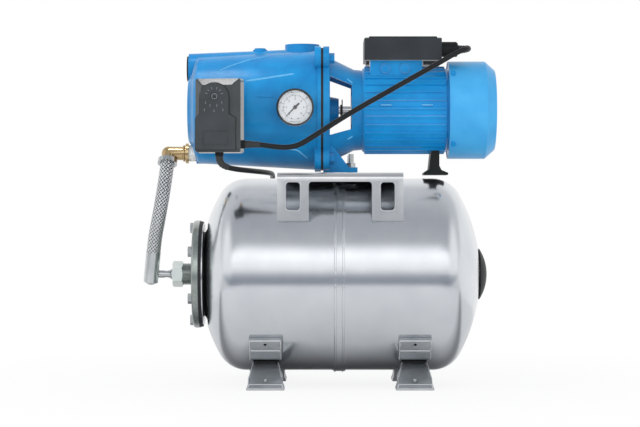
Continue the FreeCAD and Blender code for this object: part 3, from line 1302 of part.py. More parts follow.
discs(housing, "XZ_Plane", "box_seat_half", [("box_seat_left + %s" % x, BOX_UNDER + " - knockout_drop")
                                            for x in ("knockout_first", "knockout_second")],
      "knockout_radius", "knockout_height")
spun(housing, [
    ("motor_face - 1", "0"),
    ("motor_face - 1", "stator_radius"),
    ("housing_end + 1", "stator_radius"),
    ("housing_end + 1", "0"),
], groove=True)
wire_way = new_sketch(housing, "XY_Plane", BOX_UNDER + " + 1")
loop(wire_way, box_points("box_seat_left + 20", "box_seat_right - 20", "-wire_way_half", "wire_way_half"))
pocket(housing, wire_way, BOX_UNDER + " + 1 - stator_radius/2")
shield_spots = [(sy + "screw_circle*cos(45)", sz + "screw_circle*sin(45)") for sy in ("", "-") for sz in ("", "-")]
discs(housing, "YZ_Plane", "housing_end + 1", shield_spots, "screw_radius + bolt_gap", "screw_length + 2",
      cut=True)
put(housing, z="pump_level")

shield = new_body("end_shield")
spun(shield, [
    ("housing_end - shield_spigot", "stator_radius - shield_wall"),
    ("housing_end - shield_spigot", "stator_radius - running_gap"),
    ("housing_end", "stator_radius - running_gap"),
    ("housing_end", "rib_root - 2"),
    ("housing_end + shield_gap", "rib_root - 2"),
    ("housing_end + shield_gap", "cover_inner - running_gap"),
    ("housing_end + shield_gap + shield_rim", "cover_inner - running_gap"),
    ("housing_end + shield_gap + shield_rim", "cover_inner - shield_wall"),
    ("housing_end + shield_gap + shield_wall", "rib_root + 1"),
    ("housing_end + shield_gap + shield_wall", "bearing_radius + shield_wall"),
    (REAR_BEARING + " + bearing_width + 2", "bearing_radius + shield_wall"),
    (REAR_BEARING + " + bearing_width + 2", "bearing_bore + 1"),
    (REAR_BEARING + " + bearing_width", "bearing_bore + 1"),
    (REAR_BEARING + " + bearing_width", "bearing_radius + running_gap"),
    ("housing_end", "bearing_radius + running_gap"),
    ("housing_end", "stator_radius - shield_wall"),
])
discs(shield, "YZ_Plane", "housing_end - 1", shield_spots, "screw_radius + bolt_gap",
      "shield_gap + shield_wall + 2", cut=True, reverse=True)
put(shield, z="pump_level")
shield_screws = bolt_set("shield_screws", shield_spots, "housing_end + shield_gap + shield_wall", "screw_across", "screw_head",
         "screw_radius", "shield_gap + shield_wall + screw_length - 1", True, z="pump_level")

# Fan and its cover
fan = new_body("fan")
spun(fan, [
    ("fan_x", "fan_bore"),
    ("fan_x", "fan_hub_radius"),
    ("fan_x + 2", "fan_hub_radius"),
    ("fan_x + 2", "fan_radius"),
    ("fan_x + 4", "fan_radius"),
    ("fan_x + 4", "fan_hub_radius"),
    ("fan_x + fan_hub_length", "fan_hub_radius"),
    ("fan_x + fan_hub_length", "fan_bore"),
])
fan_blade = new_sketch(fan, "YZ_Plane", "fan_x + 3")
loop(fan_blade, box_points("-1", "1", "fan_hub_radius - 1", "fan_radius"))
fan_pad = pad(fan, fan_blade, "fan_blade_width")
around(fan, [fan_pad], "X", "fan_blades")
put(fan, z="pump_level")

COVER_START = "(housing_end + shield_gap - cover_lap)"
COVER_RADIUS = "(cover_inner + cover_sheet)"
fan_cover = new_body("fan_cover")
spun(fan_cover, [
    (COVER_START, "cover_inner"),
    (COVER_START, COVER_RADIUS),
    ("cover_shoulder", COVER_RADIUS),
    ("cover_face", "cover_face_radius"),
    ("cover_face + cover_dome", "0", "cover_dome_radius", "right"),
    ("cover_face + cover_dome - cover_sheet", "0"),
    ("cover_face - cover_sheet", "cover_face_radius - 1", "cover_dome_radius", "left"),
    ("cover_shoulder", "cover_inner"),
])
for name, (low, high, width) in (("inner_slots", ("slot_ring_1", "slot_ring_2", "grille_slot")),
                                 ("outer_slots", ("slot_ring_3", "slot_ring_4", "1.3*grille_slot"))):
    slot = new_sketch(fan_cover, "YZ_Plane", "cover_face + cover_dome + 1")
    half, end = "%s/2" % width, "0.6*%s" % width
    loop(slot, [("-" + half, high), (half, high, end, "right"), (half, low), ("-" + half, low, end, "right")])
    slot_cut = pocket(fan_cover, slot, "cover_dome + 3*cover_sheet + 2")
    around(fan_cover, [slot_cut], "X", "grille_slots")
put(fan_cover, z="pump_level")
cover_screws = hidden_body("fan_cover_screws")
screw_face = new_sketch(cover_screws, "XY_Plane", COVER_RADIUS)
SCREW_X = COVER_START + " + cover_lap + shield_rim/2"
ring(screw_face, SCREW_X, "0", "cover_screw_radius")
screw_pad = pad(cover_screws, screw_face, "cover_screw_height")
around(cover_screws, [screw_pad], "X", "cover_screws")
put(cover_screws, z="pump_level")
cover_screws.Placement.Rotation = FreeCAD.Rotation(V(1, 0, 0), 45)
nodes.remove(shield_screws)
shield_screws.Label = "end_shield_screws"
group_of("motor_screws", [shield_screws, cover_screws])

# Terminal box of black plastic on the housing's seat
BOX_TOP = "(box_level + box_height)"
tray = block("box_tray", "box_right - box_left", "2*box_half", "box_height", "box_left", "-box_half", "box_level")
tray_room = block("box_tray_room", "box_right - box_left - 2*box_wall", "2*(box_half - box_wall)", "box_height",
                  "box_left + box_wall", "-box_half + box_wall", "box_level + box_wall")
apron = block("box_apron", "apron_right - apron_left", "2*apron_half", "apron_drop + 1", "apron_left",
              "-apron_half", "box_level - apron_drop")
lug = block("box_lug", "4.5", "2*apron_half", "apron_drop + 1", "box_left + 3", "-apron_half",
            "box_level - apron_drop")
lead_hole = rod("lead_hole", "wire_way_half - 2", "3*box_wall", "(box_seat_left + box_seat_right)/2", 0,
                "box_level - box_wall")
gland_hole = rod("gland_hole", "gland_thread + bolt_gap", "3*box_wall", "box_right - 2*box_wall", "-gland_y",
                 "gland_level", "X")
tray_edges = doc.addObject("Part::Fillet", "box_tray_rounded")
tray_edges.Base = tray
doc.recompute()
upright = [i + 1 for i, e in enumerate(tray.Shape.Edges) if abs(e.tangentAt(e.FirstParameter).z) > 0.9]
tray_edges.Edges = [(i, number("box_corner"), number("box_corner")) for i in upright]
tray_cast = minus("box_tray_cast", joined("box_tray_mass", [tray_edges, apron, lug]),
                  [tray_room, lead_hole, gland_hole])
node(tray_cast, "terminal_box")

lid = new_body("terminal_box_lid")
rim_sketch = new_sketch(lid, "XY_Plane", BOX_TOP)
loop(rim_sketch, box_points("box_left", "box_right", "-box_half", "box_half"))
pad(lid, rim_sketch, "lid_rim")
crown_sketch = new_sketch(lid, "XY_Plane", BOX_TOP + " + lid_rim")
loop(crown_sketch, box_points("box_left + lid_step", "box_right - lid_step", "-box_half + lid_step",
                              "box_half - lid_step"))
pad(lid, crown_sketch, "lid_height - lid_rim")
soften(lid, "box_corner", lambda e: abs(e.tangentAt(e.FirstParameter).z) > 0.9 and
       abs(e.BoundBox.ZMin - number(BOX_TOP)) < 0.1)
soften(lid, "lid_step/2", lambda e: e.BoundBox.ZMin > number(BOX_TOP + " + lid_height") - 0.1)
hollow = new_sketch(lid, "XY_Plane", BOX_TOP)
loop(hollow, box_points("box_left + lid_step + box_wall", "box_right - lid_step - box_wall",
                        "-box_half + lid_step + box_wall", "box_half - lid_step - box_wall"))
pocket(lid, hollow, "lid_height - box_wall", reverse=True)

strip = block("terminal_strip", "strip_length", "strip_width", "strip_height", "box_left + 12", "-strip_width",
              "box_level + box_wall")
strip_cuts = [block("terminal_slot_%d" % i, "1.5", "strip_width + 2", "5",
                    "box_left + 12 + strip_length*%d/5" % i, "-strip_width - 1",
                    "box_level + box_wall + strip_height - 4") for i in range(1, 5)]
node(minus("terminal_strip_cut", strip, strip_cuts), "terminal_block")
node(rod("capacitor_can", "capacitor_radius", "capacitor_length", "box_left + 15",
         "box_half - box_wall - capacitor_radius - 1", "box_level + box_wall + capacitor_radius", "X"), "capacitor")

GLAND_FACE = "(box_right + gland_length)"
gland = hidden_body("box_gland")
spun(gland, [
    ("box_right - 2*box_wall", "cord_radius + 1"),
    ("box_right - 2*box_wall", "gland_thread"),
    ("box_right", "gland_thread"),
    ("box_right", "gland_radius"),
    ("box_right + gland_length - 5", "gland_radius"),
    (GLAND_FACE, "gland_radius - 3"),
    (GLAND_FACE, "0"),
    ("box_right + 3", "0"),
    ("box_right + 3", "cord_radius + 1"),
])
put(gland, y="-gland_y", z="gland_level")

# Rear foot of the motor, a moulded pillar that hangs just above the vessel
pillar = prism("foot_pillar", "XZ_Plane", [
    ("motor_foot_x - motor_foot_base/2", "motor_foot_under"),
    ("motor_foot_x + motor_foot_base/2", "motor_foot_under"),
    ("motor_foot_x + motor_foot_base/2", "motor_foot_under + 3"),
    ("motor_foot_x + motor_foot_neck/2 + 3", "motor_foot_under + 7"),
    ("motor_foot_x + motor_foot_neck/2", "motor_foot_under + 13"),
    ("motor_foot_x + motor_foot_neck/2", "pump_level - housing_radius/2"),
    ("motor_foot_x - motor_foot_neck/2 + 1", "pump_level - housing_radius/2"),
    ("motor_foot_x - motor_foot_neck/2 - 5", "motor_foot_under + 8"),
    ("motor_foot_x - motor_foot_base/2", "motor_foot_under + 3"),
], "2*motor_foot_half")
ribs_room = rod("housing_room", "housing_radius + fit_gap", "4*motor_foot_base", "motor_foot_x - motor_foot_base",
                0, "pump_level", "X")
node(minus("motor_foot_cut", pillar, [ribs_room]), "motor_foot")

# Pressure switch. Its pieces share one placement, on the nipple's axis at the face of its boss.
SWITCH_AT = dict(x="switch_x", y="-switch_boss_reach", z="switch_level", turn=SWITCH_TURN)
PLATE_BACK = "(nipple_collar + diaphragm_height)"
PLATE_FRONT = "(%s + switch_plate)" % PLATE_BACK
COVER_FRONT = "(switch_reach - panel_height)"

turned_part("switch_nipple", [
    ("-nipple_collar - 6", "2.5"),
    ("-nipple_collar - 6", "switch_nipple_radius"),
    ("-nipple_collar", "switch_nipple_radius"),
    ("-nipple_collar", "switch_nipple_radius + 3"),
    ("0", "switch_nipple_radius + 3"),
    ("0", "switch_nipple_radius"),
    ("casing_wall + 4", "switch_nipple_radius"),
    ("casing_wall + 4", "2.5"),
], axis="Y", **SWITCH_AT)
base = hidden_body("diaphragm_housing")
spun(base, [
    ("-nipple_collar", "switch_nipple_radius + fit_gap/2"),
    ("-nipple_collar - 6.3", "switch_nipple_radius + fit_gap/2"),
    ("-nipple_collar - 6.3", "3"),
    ("-" + PLATE_BACK + " + 3", "3"),
    ("-" + PLATE_BACK + " + 3", "diaphragm_radius - 5"),
    ("-" + PLATE_BACK, "diaphragm_radius - 5"),
    ("-" + PLATE_BACK, "diaphragm_radius"),
    ("-" + PLATE_BACK + " + 4", "diaphragm_radius"),
    ("-nipple_collar - 3", "switch_nipple_radius + 6"),
    ("-nipple_collar", "switch_nipple_radius + 6"),
], axis="Y")
put(base, **SWITCH_AT)


def switch_body(label):
    return put(new_body(label), **SWITCH_AT)


def cover_box(inset):
    """Cover's outline seen from the front, in the switch's own place."""
    return box_points("switch_left + %s" % inset, "switch_left + switch_width - (%s)" % inset,
                      "switch_top - switch_height + %s" % inset, "switch_top - (%s)" % inset)


plate = put(hidden_body("base_plate"), **SWITCH_AT)
sketch = new_sketch(plate, "XZ_Plane", PLATE_BACK)
loop(sketch, cover_box("switch_wall + fit_gap"))
ring(sketch, "0", "0", "plunger_radius + 1")
pad(plate, sketch, "switch_plate")
node(joined("base_riveted", [base, plate]), "switch_base")

plunger = switch_body("switch_plunger")
spun(plunger, [
    ("-(%s - 2.7)" % PLATE_BACK, "0"),
    ("-(%s - 2.7)" % PLATE_BACK, "diaphragm_radius - 7"),
    ("-(%s - 1.7)" % PLATE_BACK, "diaphragm_radius - 7"),
    ("-(%s - 1.7)" % PLATE_BACK, "plunger_radius"),
    ("-(%s + plunger_length)" % PLATE_FRONT, "plunger_radius"),
    ("-(%s + plunger_length)" % PLATE_FRONT, "0"),
], "Y")
yoke = new_sketch(plunger, "XZ_Plane", PLATE_FRONT + " + plunger_length - 1")
loop(yoke, box_points("-lever_half", "lever_half", "contact_high + 2", "plunger_radius + 2"))
pad(plunger, yoke, "lever_thick")

spring = switch_body("switch_spring")
coil_points = []
for turn in range(5):
    foot = "-(%s + fit_gap + spring_pitch*%d)" % (PLATE_FRONT, turn)
    tip = "-(%s + fit_gap + spring_pitch*%d.5)" % (PLATE_FRONT, turn)
    coil_points += [(foot, "spring_radius"), (tip, "spring_radius + 1.5")]
end = "-(%s + fit_gap + spring_pitch*5)" % PLATE_FRONT
spun(spring, coil_points + [(end, "spring_radius"), (end, "spring_radius - 1.2")] +
     [("-(%s + fit_gap)" % PLATE_FRONT, "spring_radius - 1.2")], "Y")

contacts = switch_body("contact_block")
sketch = new_sketch(contacts, "XZ_Plane", PLATE_FRONT)
loop(sketch, box_points("switch_left + switch_wall + 4", "switch_left + switch_width - switch_wall - 8",
                        "contact_low", "contact_high"))
pad(contacts, sketch, "contact_height")
for index in range(1, 4):
    slot = new_sketch(contacts, "XZ_Plane", PLATE_FRONT + " + contact_height - 5")
    place = "switch_left + switch_wall + 2 + %d*(switch_width - 2*switch_wall - 8)/4" % index
    loop(slot, box_points(place, place + " + 2", "contact_low - 1", "contact_high + 1"))
    pocket(contacts, slot, "6", reverse=True)

def frustum(body, sections, subtract=False):
    """Straight-sided loft through rectangles, each (inset, distance in front of the boss)."""
    sketches = []
    for inset, distance in sections:
        section = new_sketch(body, "XZ_Plane", distance)
        loop(section, cover_box(inset))
        sketches.append(section)
    kind = "PartDesign::SubtractiveLoft" if subtract else "PartDesign::AdditiveLoft"
    feature = body.newObject(kind, body.Name + "_loft")
    feature.Profile = sketches[0]
    feature.Sections = sketches[1:]
    feature.Ruled = True
    body.Tip = feature
    return feature


cover = switch_body("switch_cover")
frustum(cover, [("0", PLATE_BACK), ("0.8", COVER_FRONT + " - cover_bevel"),
                ("cover_bevel", COVER_FRONT)])
soften(cover, "cover_rounding", lambda e: abs(e.BoundBox.YMax - e.BoundBox.YMin) > 5)
frustum(cover, [("switch_wall", PLATE_BACK + " - 1"), ("switch_wall + 0.8", COVER_FRONT + " - cover_bevel"),
                ("switch_wall + cover_bevel - 1", COVER_FRONT + " - switch_wall")], subtract=True)
panel = new_sketch(cover, "XZ_Plane", COVER_FRONT + " - 1.5")
loop(panel, [
    ("panel_low_x - panel_half", "panel_bottom"),
    ("panel_low_x + panel_half", "panel_bottom"),
    ("panel_low_x + panel_half", "panel_shoulder - 5"),
    ("panel_x + panel_radius", "panel_shoulder"),
    ("panel_x + panel_radius", "panel_top - panel_radius"),
    ("panel_x", "panel_top", "panel_radius", "left"),
    ("panel_x - panel_radius", "panel_top - panel_radius", "panel_radius", "left"),
    ("panel_x - panel_radius", "panel_shoulder"),
    ("panel_low_x - panel_half", "panel_shoulder - 5"),
])
pad(cover, panel, "panel_height + 1.5")
label_room = new_sketch(cover, "XZ_Plane", "switch_reach - label_depth")
loop(label_room, box_points("panel_low_x - label_half", "panel_low_x + label_half",
                            "panel_bottom + 7", "panel_bottom + 7 + label_height"))
pocket(cover, label_room, "label_depth + 1", reverse=True)
knob_room = new_sketch(cover, "XZ_Plane", "switch_reach + 1")
ring(knob_room, "knob_x", "knob_z", "knob_radius + fit_gap")
pocket(cover, knob_room, "knob_depth + 1")
hole_x = new_sketch(cover, "YZ_Plane", "switch_left + switch_width + 1")
ring(hole_x, "-grommet_reach", "side_grommet_z", "grommet_radius")
pocket(cover, hole_x, "switch_wall + 6")
hole_z = new_sketch(cover, "XY_Plane", "switch_top - switch_height - 1")
ring(hole_z, "low_grommet_x", "-grommet_reach", "grommet_radius")
pocket(cover, hole_z, "switch_wall + 6", reverse=True)

turned_knob = switch_body("cover_nut")
spun(turned_knob, [
    ("-(switch_reach - knob_depth)", "0"),
    ("-(switch_reach - knob_depth)", "knob_radius"),
    ("-(switch_reach - 0.6)", "knob_radius"),
    ("-(switch_reach - 0.1)", "knob_radius - 0.8"),
    ("-(switch_reach - 0.1)", "0"),
], "Y")
put(turned_knob, "switch_x + knob_x*cos(switch_yaw)", "-switch_boss_reach - knob_x*sin(switch_yaw)",
    "switch_level + knob_z")

seals = put(hidden_body("switch_grommets"), **SWITCH_AT)
side_seal = new_sketch(seals, "YZ_Plane", "switch_left + switch_width - switch_wall")
ring(side_seal, "-grommet_reach", "side_grommet_z", "grommet_radius - running_gap")
pad(seals, side_seal, "switch_wall + grommet_proud")
low_seal = new_sketch(seals, "XY_Plane", "switch_top - switch_height + switch_wall")
ring(low_seal, "low_grommet_x", "-grommet_reach", "grommet_radius - running_gap")
pad(seals, low_seal, "switch_wall + grommet_proud", reverse=True)
group_of("cable_glands", [gland, seals])

# Pressure gauge on its boss
GAUGE_AT = dict(x="gauge_x", y="-gauge_boss_reach", z="pump_level - gauge_drop")
turned_part("gauge_stem", [
    ("casing_wall + 4", "2"),
    ("casing_wall + 4", "gauge_stem_radius"),
    ("0", "gauge_stem_radius"),
    ("0", "gauge_stem_radius + 2"),
    ("-gauge_neck", "gauge_stem_radius + 2"),
    ("-gauge_neck", "gauge_stem_radius"),
    ("-(gauge_neck + 1.2)", "gauge_stem_radius"),
    ("-(gauge_neck + 1.2)", "movement_radius"),
    ("-(gauge_neck + 1.2 + movement_depth)", "movement_radius"),
    ("-(gauge_neck + 1.2 + movement_depth)", "arbor_radius + fit_gap"),
    ("-(gauge_neck + 1.2)", "arbor_radius + fit_gap"),
    ("-(gauge_neck - 1)", "2"),
], axis="Y", **GAUGE_AT)
GAUGE_BACK = "gauge_neck"
GAUGE_FRONT = "(gauge_neck + gauge_depth)"
turned_part("gauge_case", [
    ("-" + GAUGE_BACK, "gauge_stem_radius + fit_gap/3"),
    ("-" + GAUGE_BACK, "gauge_radius - 3"),
    ("-(%s + 3)" % GAUGE_BACK, "gauge_radius"),
    ("-(%s - glass_drop - glass_thick)" % GAUGE_FRONT, "gauge_radius"),
    ("-(%s - glass_drop - glass_thick)" % GAUGE_FRONT, "gauge_radius - 1.2"),
    ("-(%s + 1.2)" % GAUGE_BACK, "gauge_radius - 1.2"),
    ("-(%s + 1.2)" % GAUGE_BACK, "gauge_stem_radius + fit_gap/3"),
], axis="Y", **GAUGE_AT)
turned_part("gauge_dial", [
    ("-(%s - dial_drop)" % GAUGE_FRONT, "arbor_radius + 0.6"),
    ("-(%s - dial_drop)" % GAUGE_FRONT, "gauge_radius - 1.5"),
    ("-(%s - dial_drop - 0.8)" % GAUGE_FRONT, "gauge_radius - 1.5"),
    ("-(%s - dial_drop - 0.8)" % GAUGE_FRONT, "arbor_radius + 0.6"),
], axis="Y", **GAUGE_AT)
turned_part("gauge_glass", [
    ("-(%s - glass_drop)" % GAUGE_FRONT, "0"),
    ("-(%s - glass_drop)" % GAUGE_FRONT, "gauge_radius - 0.3"),
    ("-(%s - glass_drop - glass_thick)" % GAUGE_FRONT, "gauge_radius - 0.3"),
    ("-(%s - glass_drop - glass_thick)" % GAUGE_FRONT, "0"),
], axis="Y", **GAUGE_AT)
turned_part("gauge_bezel", [
    ("-(%s - bezel_depth + 1)" % GAUGE_FRONT, "gauge_radius + fit_gap/3"),
    ("-(%s - bezel_depth + 1)" % GAUGE_FRONT, "bezel_radius"),
    ("-(%s - 1.5)" % GAUGE_FRONT, "bezel_radius"),
    ("-" + GAUGE_FRONT, "bezel_radius - 1.5"),
    ("-" + GAUGE_FRONT, "bezel_radius - 2"),
    ("-(%s - 0.3)" % GAUGE_FRONT, "bezel_inner"),
    ("-(%s - glass_drop)" % GAUGE_FRONT, "bezel_inner"),
    ("-(%s - glass_drop)" % GAUGE_FRONT, "gauge_radius + fit_gap/3"),
], axis="Y", **GAUGE_AT)
needle = put(new_body("gauge_needle"), **GAUGE_AT)
spun(needle, [
    ("-(%s + 2)" % GAUGE_BACK, "0"),
    ("-(%s + 2)" % GAUGE_BACK, "arbor_radius"),
    ("-(%s - dial_drop + needle_lift)" % GAUGE_FRONT, "arbor_radius"),
    ("-(%s - dial_drop + needle_lift)" % GAUGE_FRONT, "needle_hub"),
    ("-(%s - dial_drop + needle_lift + needle_thick)" % GAUGE_FRONT, "needle_hub"),
    ("-(%s - dial_drop + needle_lift + needle_thick)" % GAUGE_FRONT, "0"),
], "Y")
hand = new_sketch(needle, "XZ_Plane", "%s - dial_drop + needle_lift" % GAUGE_FRONT)
REST_X, REST_Z = "sin(needle_rest)", "cos(needle_rest)"


def needle_point(along, across):
    """Point of the hand, which rests at its angle from straight up, clockwise from the front."""
    return ("(%s)*%s + (%s)*%s" % (along, REST_X, across, REST_Z),
            "(%s)*%s - (%s)*%s" % (along, REST_Z, across, REST_X))


loop(hand, [needle_point("-needle_tail", "1.3"), needle_point("-needle_tail", "-1.3"),
            needle_point("0", "-0.9"), needle_point("needle_length", "-0.25"),
            needle_point("needle_length", "0.25"), needle_point("0", "0.9")])
pad(needle, hand, "needle_thick")

# Line from the casing's outlet to the tank: taped nipple, brass elbow, braided hose, union nut
OUTLET_LEVEL = "pump_level - outlet_drop"
turned_part("port_nipple", [
    ("outlet_face - nipple_reach", "outlet_radius - 2.5"),
    ("outlet_face - nipple_reach", "outlet_radius"),
    ("outlet_face + outlet_boss_length - 14", "outlet_radius"),
    ("outlet_face + outlet_boss_length - 14", "outlet_radius - 2.5"),
], z=OUTLET_LEVEL)

HOSE_ROUTE = [(-248.53, -4.68, 325.77), (-250.3, -16, 303.9), (-254.5, -22.5, 273.9), (-261, -22, 237.9),
              (-266.5, -16.5, 211.9), (-268.5, -13, 192.9)]
MOTOR_CABLE_ROUTE = [
    (-132.46, -119.83, 344), (-114.61, -122.02, 344), (-96, -122.4, 341.2), (-77, -121, 339.3),
    (-58.9, -118, 342), (-41.5, -114, 352.8), (-24.1, -106, 364.2), (1.2, -95, 380.8), (27.2, -86, 396.8),
    (66, -76, 419), (108, -64, 443.3), (142.6, -53.5, 463), (165, -48.5, 476.5), (177.5, -45.5, 482),
    (183.5, -39.5, 483.5), (183.5, -30.5, 484.2), (177.5, -25, 483.5), (170, -25, 483.5)]
MAINS_CORD_ROUTE = [
    (-168.69, -115.39, 328), (-168.69, -115.39, 319.5), (-160, -111, 312.5), (-144, -99.5, 309.5),
    (-126, -78, 308), (-110.5, -48, 307), (-100, -15, 306.2), (-97, 20.3, 304.8), (-99, 66.4, 290.3),
    (-101, 105.2, 261.6), (-103, 132.5, 221.8), (-104, 145.4, 175.3), (-103.5, 146, 136), (-101, 140, 103),
    (-96, 136, 78),
    (-91, 138.5, 58), (-88, 147, 43.5), (-86.7, 158.5, 33.5), (-86.5, 172, 26.25)]

TAIL_ROUTE = [(-92.5, 191.5, 27.5), (-104, 198.6, 32), (-116.5, 199.5, 38.5), (-127, 193.5, 44.5),
              (-132.5, 183, 48.8), (-132.5, 172, 48.8)]


def smooth_path(points):
    """Straight runs joined by tangent arcs, each arc as large as its two runs allow."""
    spots = [V(*p) for p in points]
    edges, radii, last = [], [], spots[0]
    for before, corner, after in zip(spots, spots[1:], spots[2:]):
        back, ahead = (before - corner), (after - corner)
        shorter = min(back.Length, ahead.Length)
        back.normalize()
        ahead.normalize()
        turn = math.pi - back.getAngle(ahead)
        reach = 0.45 * shorter
        radii.append(reach / math.tan(turn / 2))
        start, end = corner + back * reach, corner + ahead * reach
        inward = (back + ahead).normalize()
        centre = corner + inward * math.hypot(reach, radii[-1])
        edges.append(Part.LineSegment(last, start).toShape())
        edges.append(Part.Arc(start, centre - inward * radii[-1], end).toShape())
        last = end
    edges.append(Part.LineSegment(last, spots[-1]).toShape())
    return Part.Wire(edges), radii


def tube_along(label, points, radius):
    """Plain round tube along a route."""
    path, radii = smooth_path(points)
    start = V(*points[1]) - V(*points[0])
    mouth = Part.Wire([Part.Circle(V(*points[0]), start, radius).toShape()])
    tube = path.makePipeShell([mouth], True, False)
    share = tube.Volume / (math.pi * radius ** 2 * path.Length)
    print("%s: length %.0f mm, volume share %.4f, radii %s" %
          (label, path.Length, share, " ".join("%.0f" % r for r in radii)))
    piece = doc.addObject("Part::Feature", label)
    piece.Shape = tube
    return piece


node(tube_along("braided_hose", HOSE_ROUTE, number("hose_radius")), "braided_hose")
node(tube_along("motor_cable", MOTOR_CABLE_ROUTE, number("cord_radius")), "motor_cable")
group_of("mains_cord", [tube_along("cord_%d" % i, route, number("cord_radius"))
                        for i, route in enumerate((MAINS_CORD_ROUTE, TAIL_ROUTE))])


def way(points, index):
    """Direction of one run of a route."""
    return (V(*points[index + 1]) - V(*points[index])).normalize()


def along(points, name, label_radius, length, start):
    """Rod in the direction of a hose end, counted from the hose's first or last point."""
    first = start[0] == "first"
    direction = way(points, 0) if first else way(points, len(points) - 2)
    foot = V(*(points[0] if first else points[-1])) + direction * start[1]
    piece = doc.addObject("Part::Cylinder", name)
    bind(piece, "Radius", label_radius)
    bind(piece, "Height", length)
    piece.Placement = FreeCAD.Placement(foot, FreeCAD.Rotation(V(0, 0, 1), direction))
    return piece


ELBOW_END = "outlet_face - nipple_reach"
bend = V(*HOSE_ROUTE[0]) - way(HOSE_ROUTE, 0) * number("elbow_drop")
arm = rod("elbow_arm", "elbow_radius", "%s - (%s)" % (ELBOW_END, bend.x), bend.x, 0, OUTLET_LEVEL, "X")
collar = rod("elbow_collar", "elbow_collar_radius", "elbow_collar_length", ELBOW_END + " - elbow_collar_length",
             0, OUTLET_LEVEL, "X")
knee = doc.addObject("Part::Sphere", "elbow_knee")
bind(knee, "Radius", "elbow_radius + 0.2")
put(knee, bend.x, 0, OUTLET_LEVEL)
down_arm = along(HOSE_ROUTE, "elbow_down_arm", "elbow_radius", "elbow_drop", ("first", -number("elbow_drop")))
node(joined("elbow_cast", [arm, collar, knee, down_arm]), "brass_elbow")

# Fittings crimped on the hose: a ring above, and below a sleeve with its tail to the union nut
RING_START = number("elbow_radius + fit_gap + 0.6 - elbow_drop")
ring_outer = along(HOSE_ROUTE, "hose_ring_outer", "hose_ring_radius", "hose_ring_length", ("first", RING_START))
ring_inner = along(HOSE_ROUTE, "hose_ring_inner", "hose_radius + bolt_gap", "hose_ring_length",
                   ("first", RING_START))
hose_ring = minus("hose_ring", ring_outer, [ring_inner])
sleeve = along(HOSE_ROUTE, "hose_sleeve", "sleeve_radius", "sleeve_length", ("last", 0))
tip = doc.addObject("Part::Sphere", "sleeve_tip")
bind(tip, "Radius", "sleeve_radius")
tip.Placement.Base = V(*HOSE_ROUTE[-1]) + way(HOSE_ROUTE, len(HOSE_ROUTE) - 2) * (number("sleeve_length") - 6)
UNION_START = "(%s - union_lap)" % NIPPLE_TIP
UNION_END = "(%s + union_length)" % UNION_START
tail = hidden_body("hose_tail")
spun(tail, [
    ("-" + NIPPLE_TIP, "0"),
    ("-" + NIPPLE_TIP, "tail_collar"),
    ("-(%s + 4)" % NIPPLE_TIP, "tail_collar"),
    ("-(%s + 4)" % NIPPLE_TIP, "tail_radius + 2.5"),
    ("-(%s + 1)" % UNION_END, "tail_radius + 2.5"),
    ("-(%s + 5)" % UNION_END, "tail_radius"),
    ("-(%s + 9)" % UNION_END, "tail_radius - 0.8"),
    ("-(%s + 14)" % UNION_END, "tail_radius"),
    ("-(%s + 26)" % UNION_END, "tail_radius"),
    ("-(%s + 26)" % UNION_END, "0"),
])
put(tail, z=TANK_LEVEL)
lower_fitting = joined("lower_fitting", [sleeve, tip, tail])
group_of("hose_fittings", [hose_ring, lower_fitting])

union = new_body("union_nut")
union_sketch = new_sketch(union, "YZ_Plane", "-" + UNION_START)
loop(union_sketch, hexagon_points("union_across"))
pad(union, union_sketch, "union_length", reverse=True)
spun(union, [
    ("-(%s - 1)" % UNION_START, "0"),
    ("-(%s - 1)" % UNION_START, "nipple_radius + bolt_gap"),
    ("-(%s + 4.3)" % NIPPLE_TIP, "nipple_radius + bolt_gap"),
    ("-(%s + 4.3)" % NIPPLE_TIP, "tail_radius + 2.5 + bolt_gap"),
    ("-(%s + 1)" % UNION_END, "tail_radius + 2.5 + bolt_gap"),
    ("-(%s + 1)" % UNION_END, "0"),
], groove=True)
CORNER = "union_across/2/cos(30)"
for end, inward in ((UNION_START, "+"), (UNION_END, "-")):
    spun(union, [
        ("-(%s %s 2)" % (end, inward), CORNER + " + 1"),
        ("-(%s)" % end, "union_across/2"),
        ("-(%s %s 1)" % (end, "-" if inward == "+" else "+"), "union_across/2"),
        ("-(%s %s 1)" % (end, "-" if inward == "+" else "+"), CORNER + " + 1"),
    ], groove=True)
put(union, z=TANK_LEVEL)

turned_part("priming_plug", [
    ("priming_top - 9", "0"),
    ("priming_top - 9", "priming_radius - fit_gap/2"),
    ("priming_top", "priming_radius - fit_gap/2"),
    ("priming_top", "priming_boss_radius - 2"),
    ("priming_top + priming_head", "priming_boss_radius - 2.6"),
    ("priming_top + priming_head", "0"),
], axis="Z", x="priming_x", z="pump_level")

# Put-away length of the mains cord behind the rear foot: oval turns on each other, and its plug
HANK_TOP = "2*hank_layers*cord_radius"


def oval(name, bend_radius):
    middle = block(name + "_middle", "2*(%s)" % bend_radius, "hank_run", HANK_TOP,
                   "hank_x - (%s)" % bend_radius, "hank_y - hank_run/2", "0")
    ends = [rod("%s_end_%d" % (name, i), bend_radius, HANK_TOP, "hank_x", "hank_y %s hank_run/2" % sign, "0")
            for i, sign in enumerate("+-")]
    return joined(name, [middle] + ends)


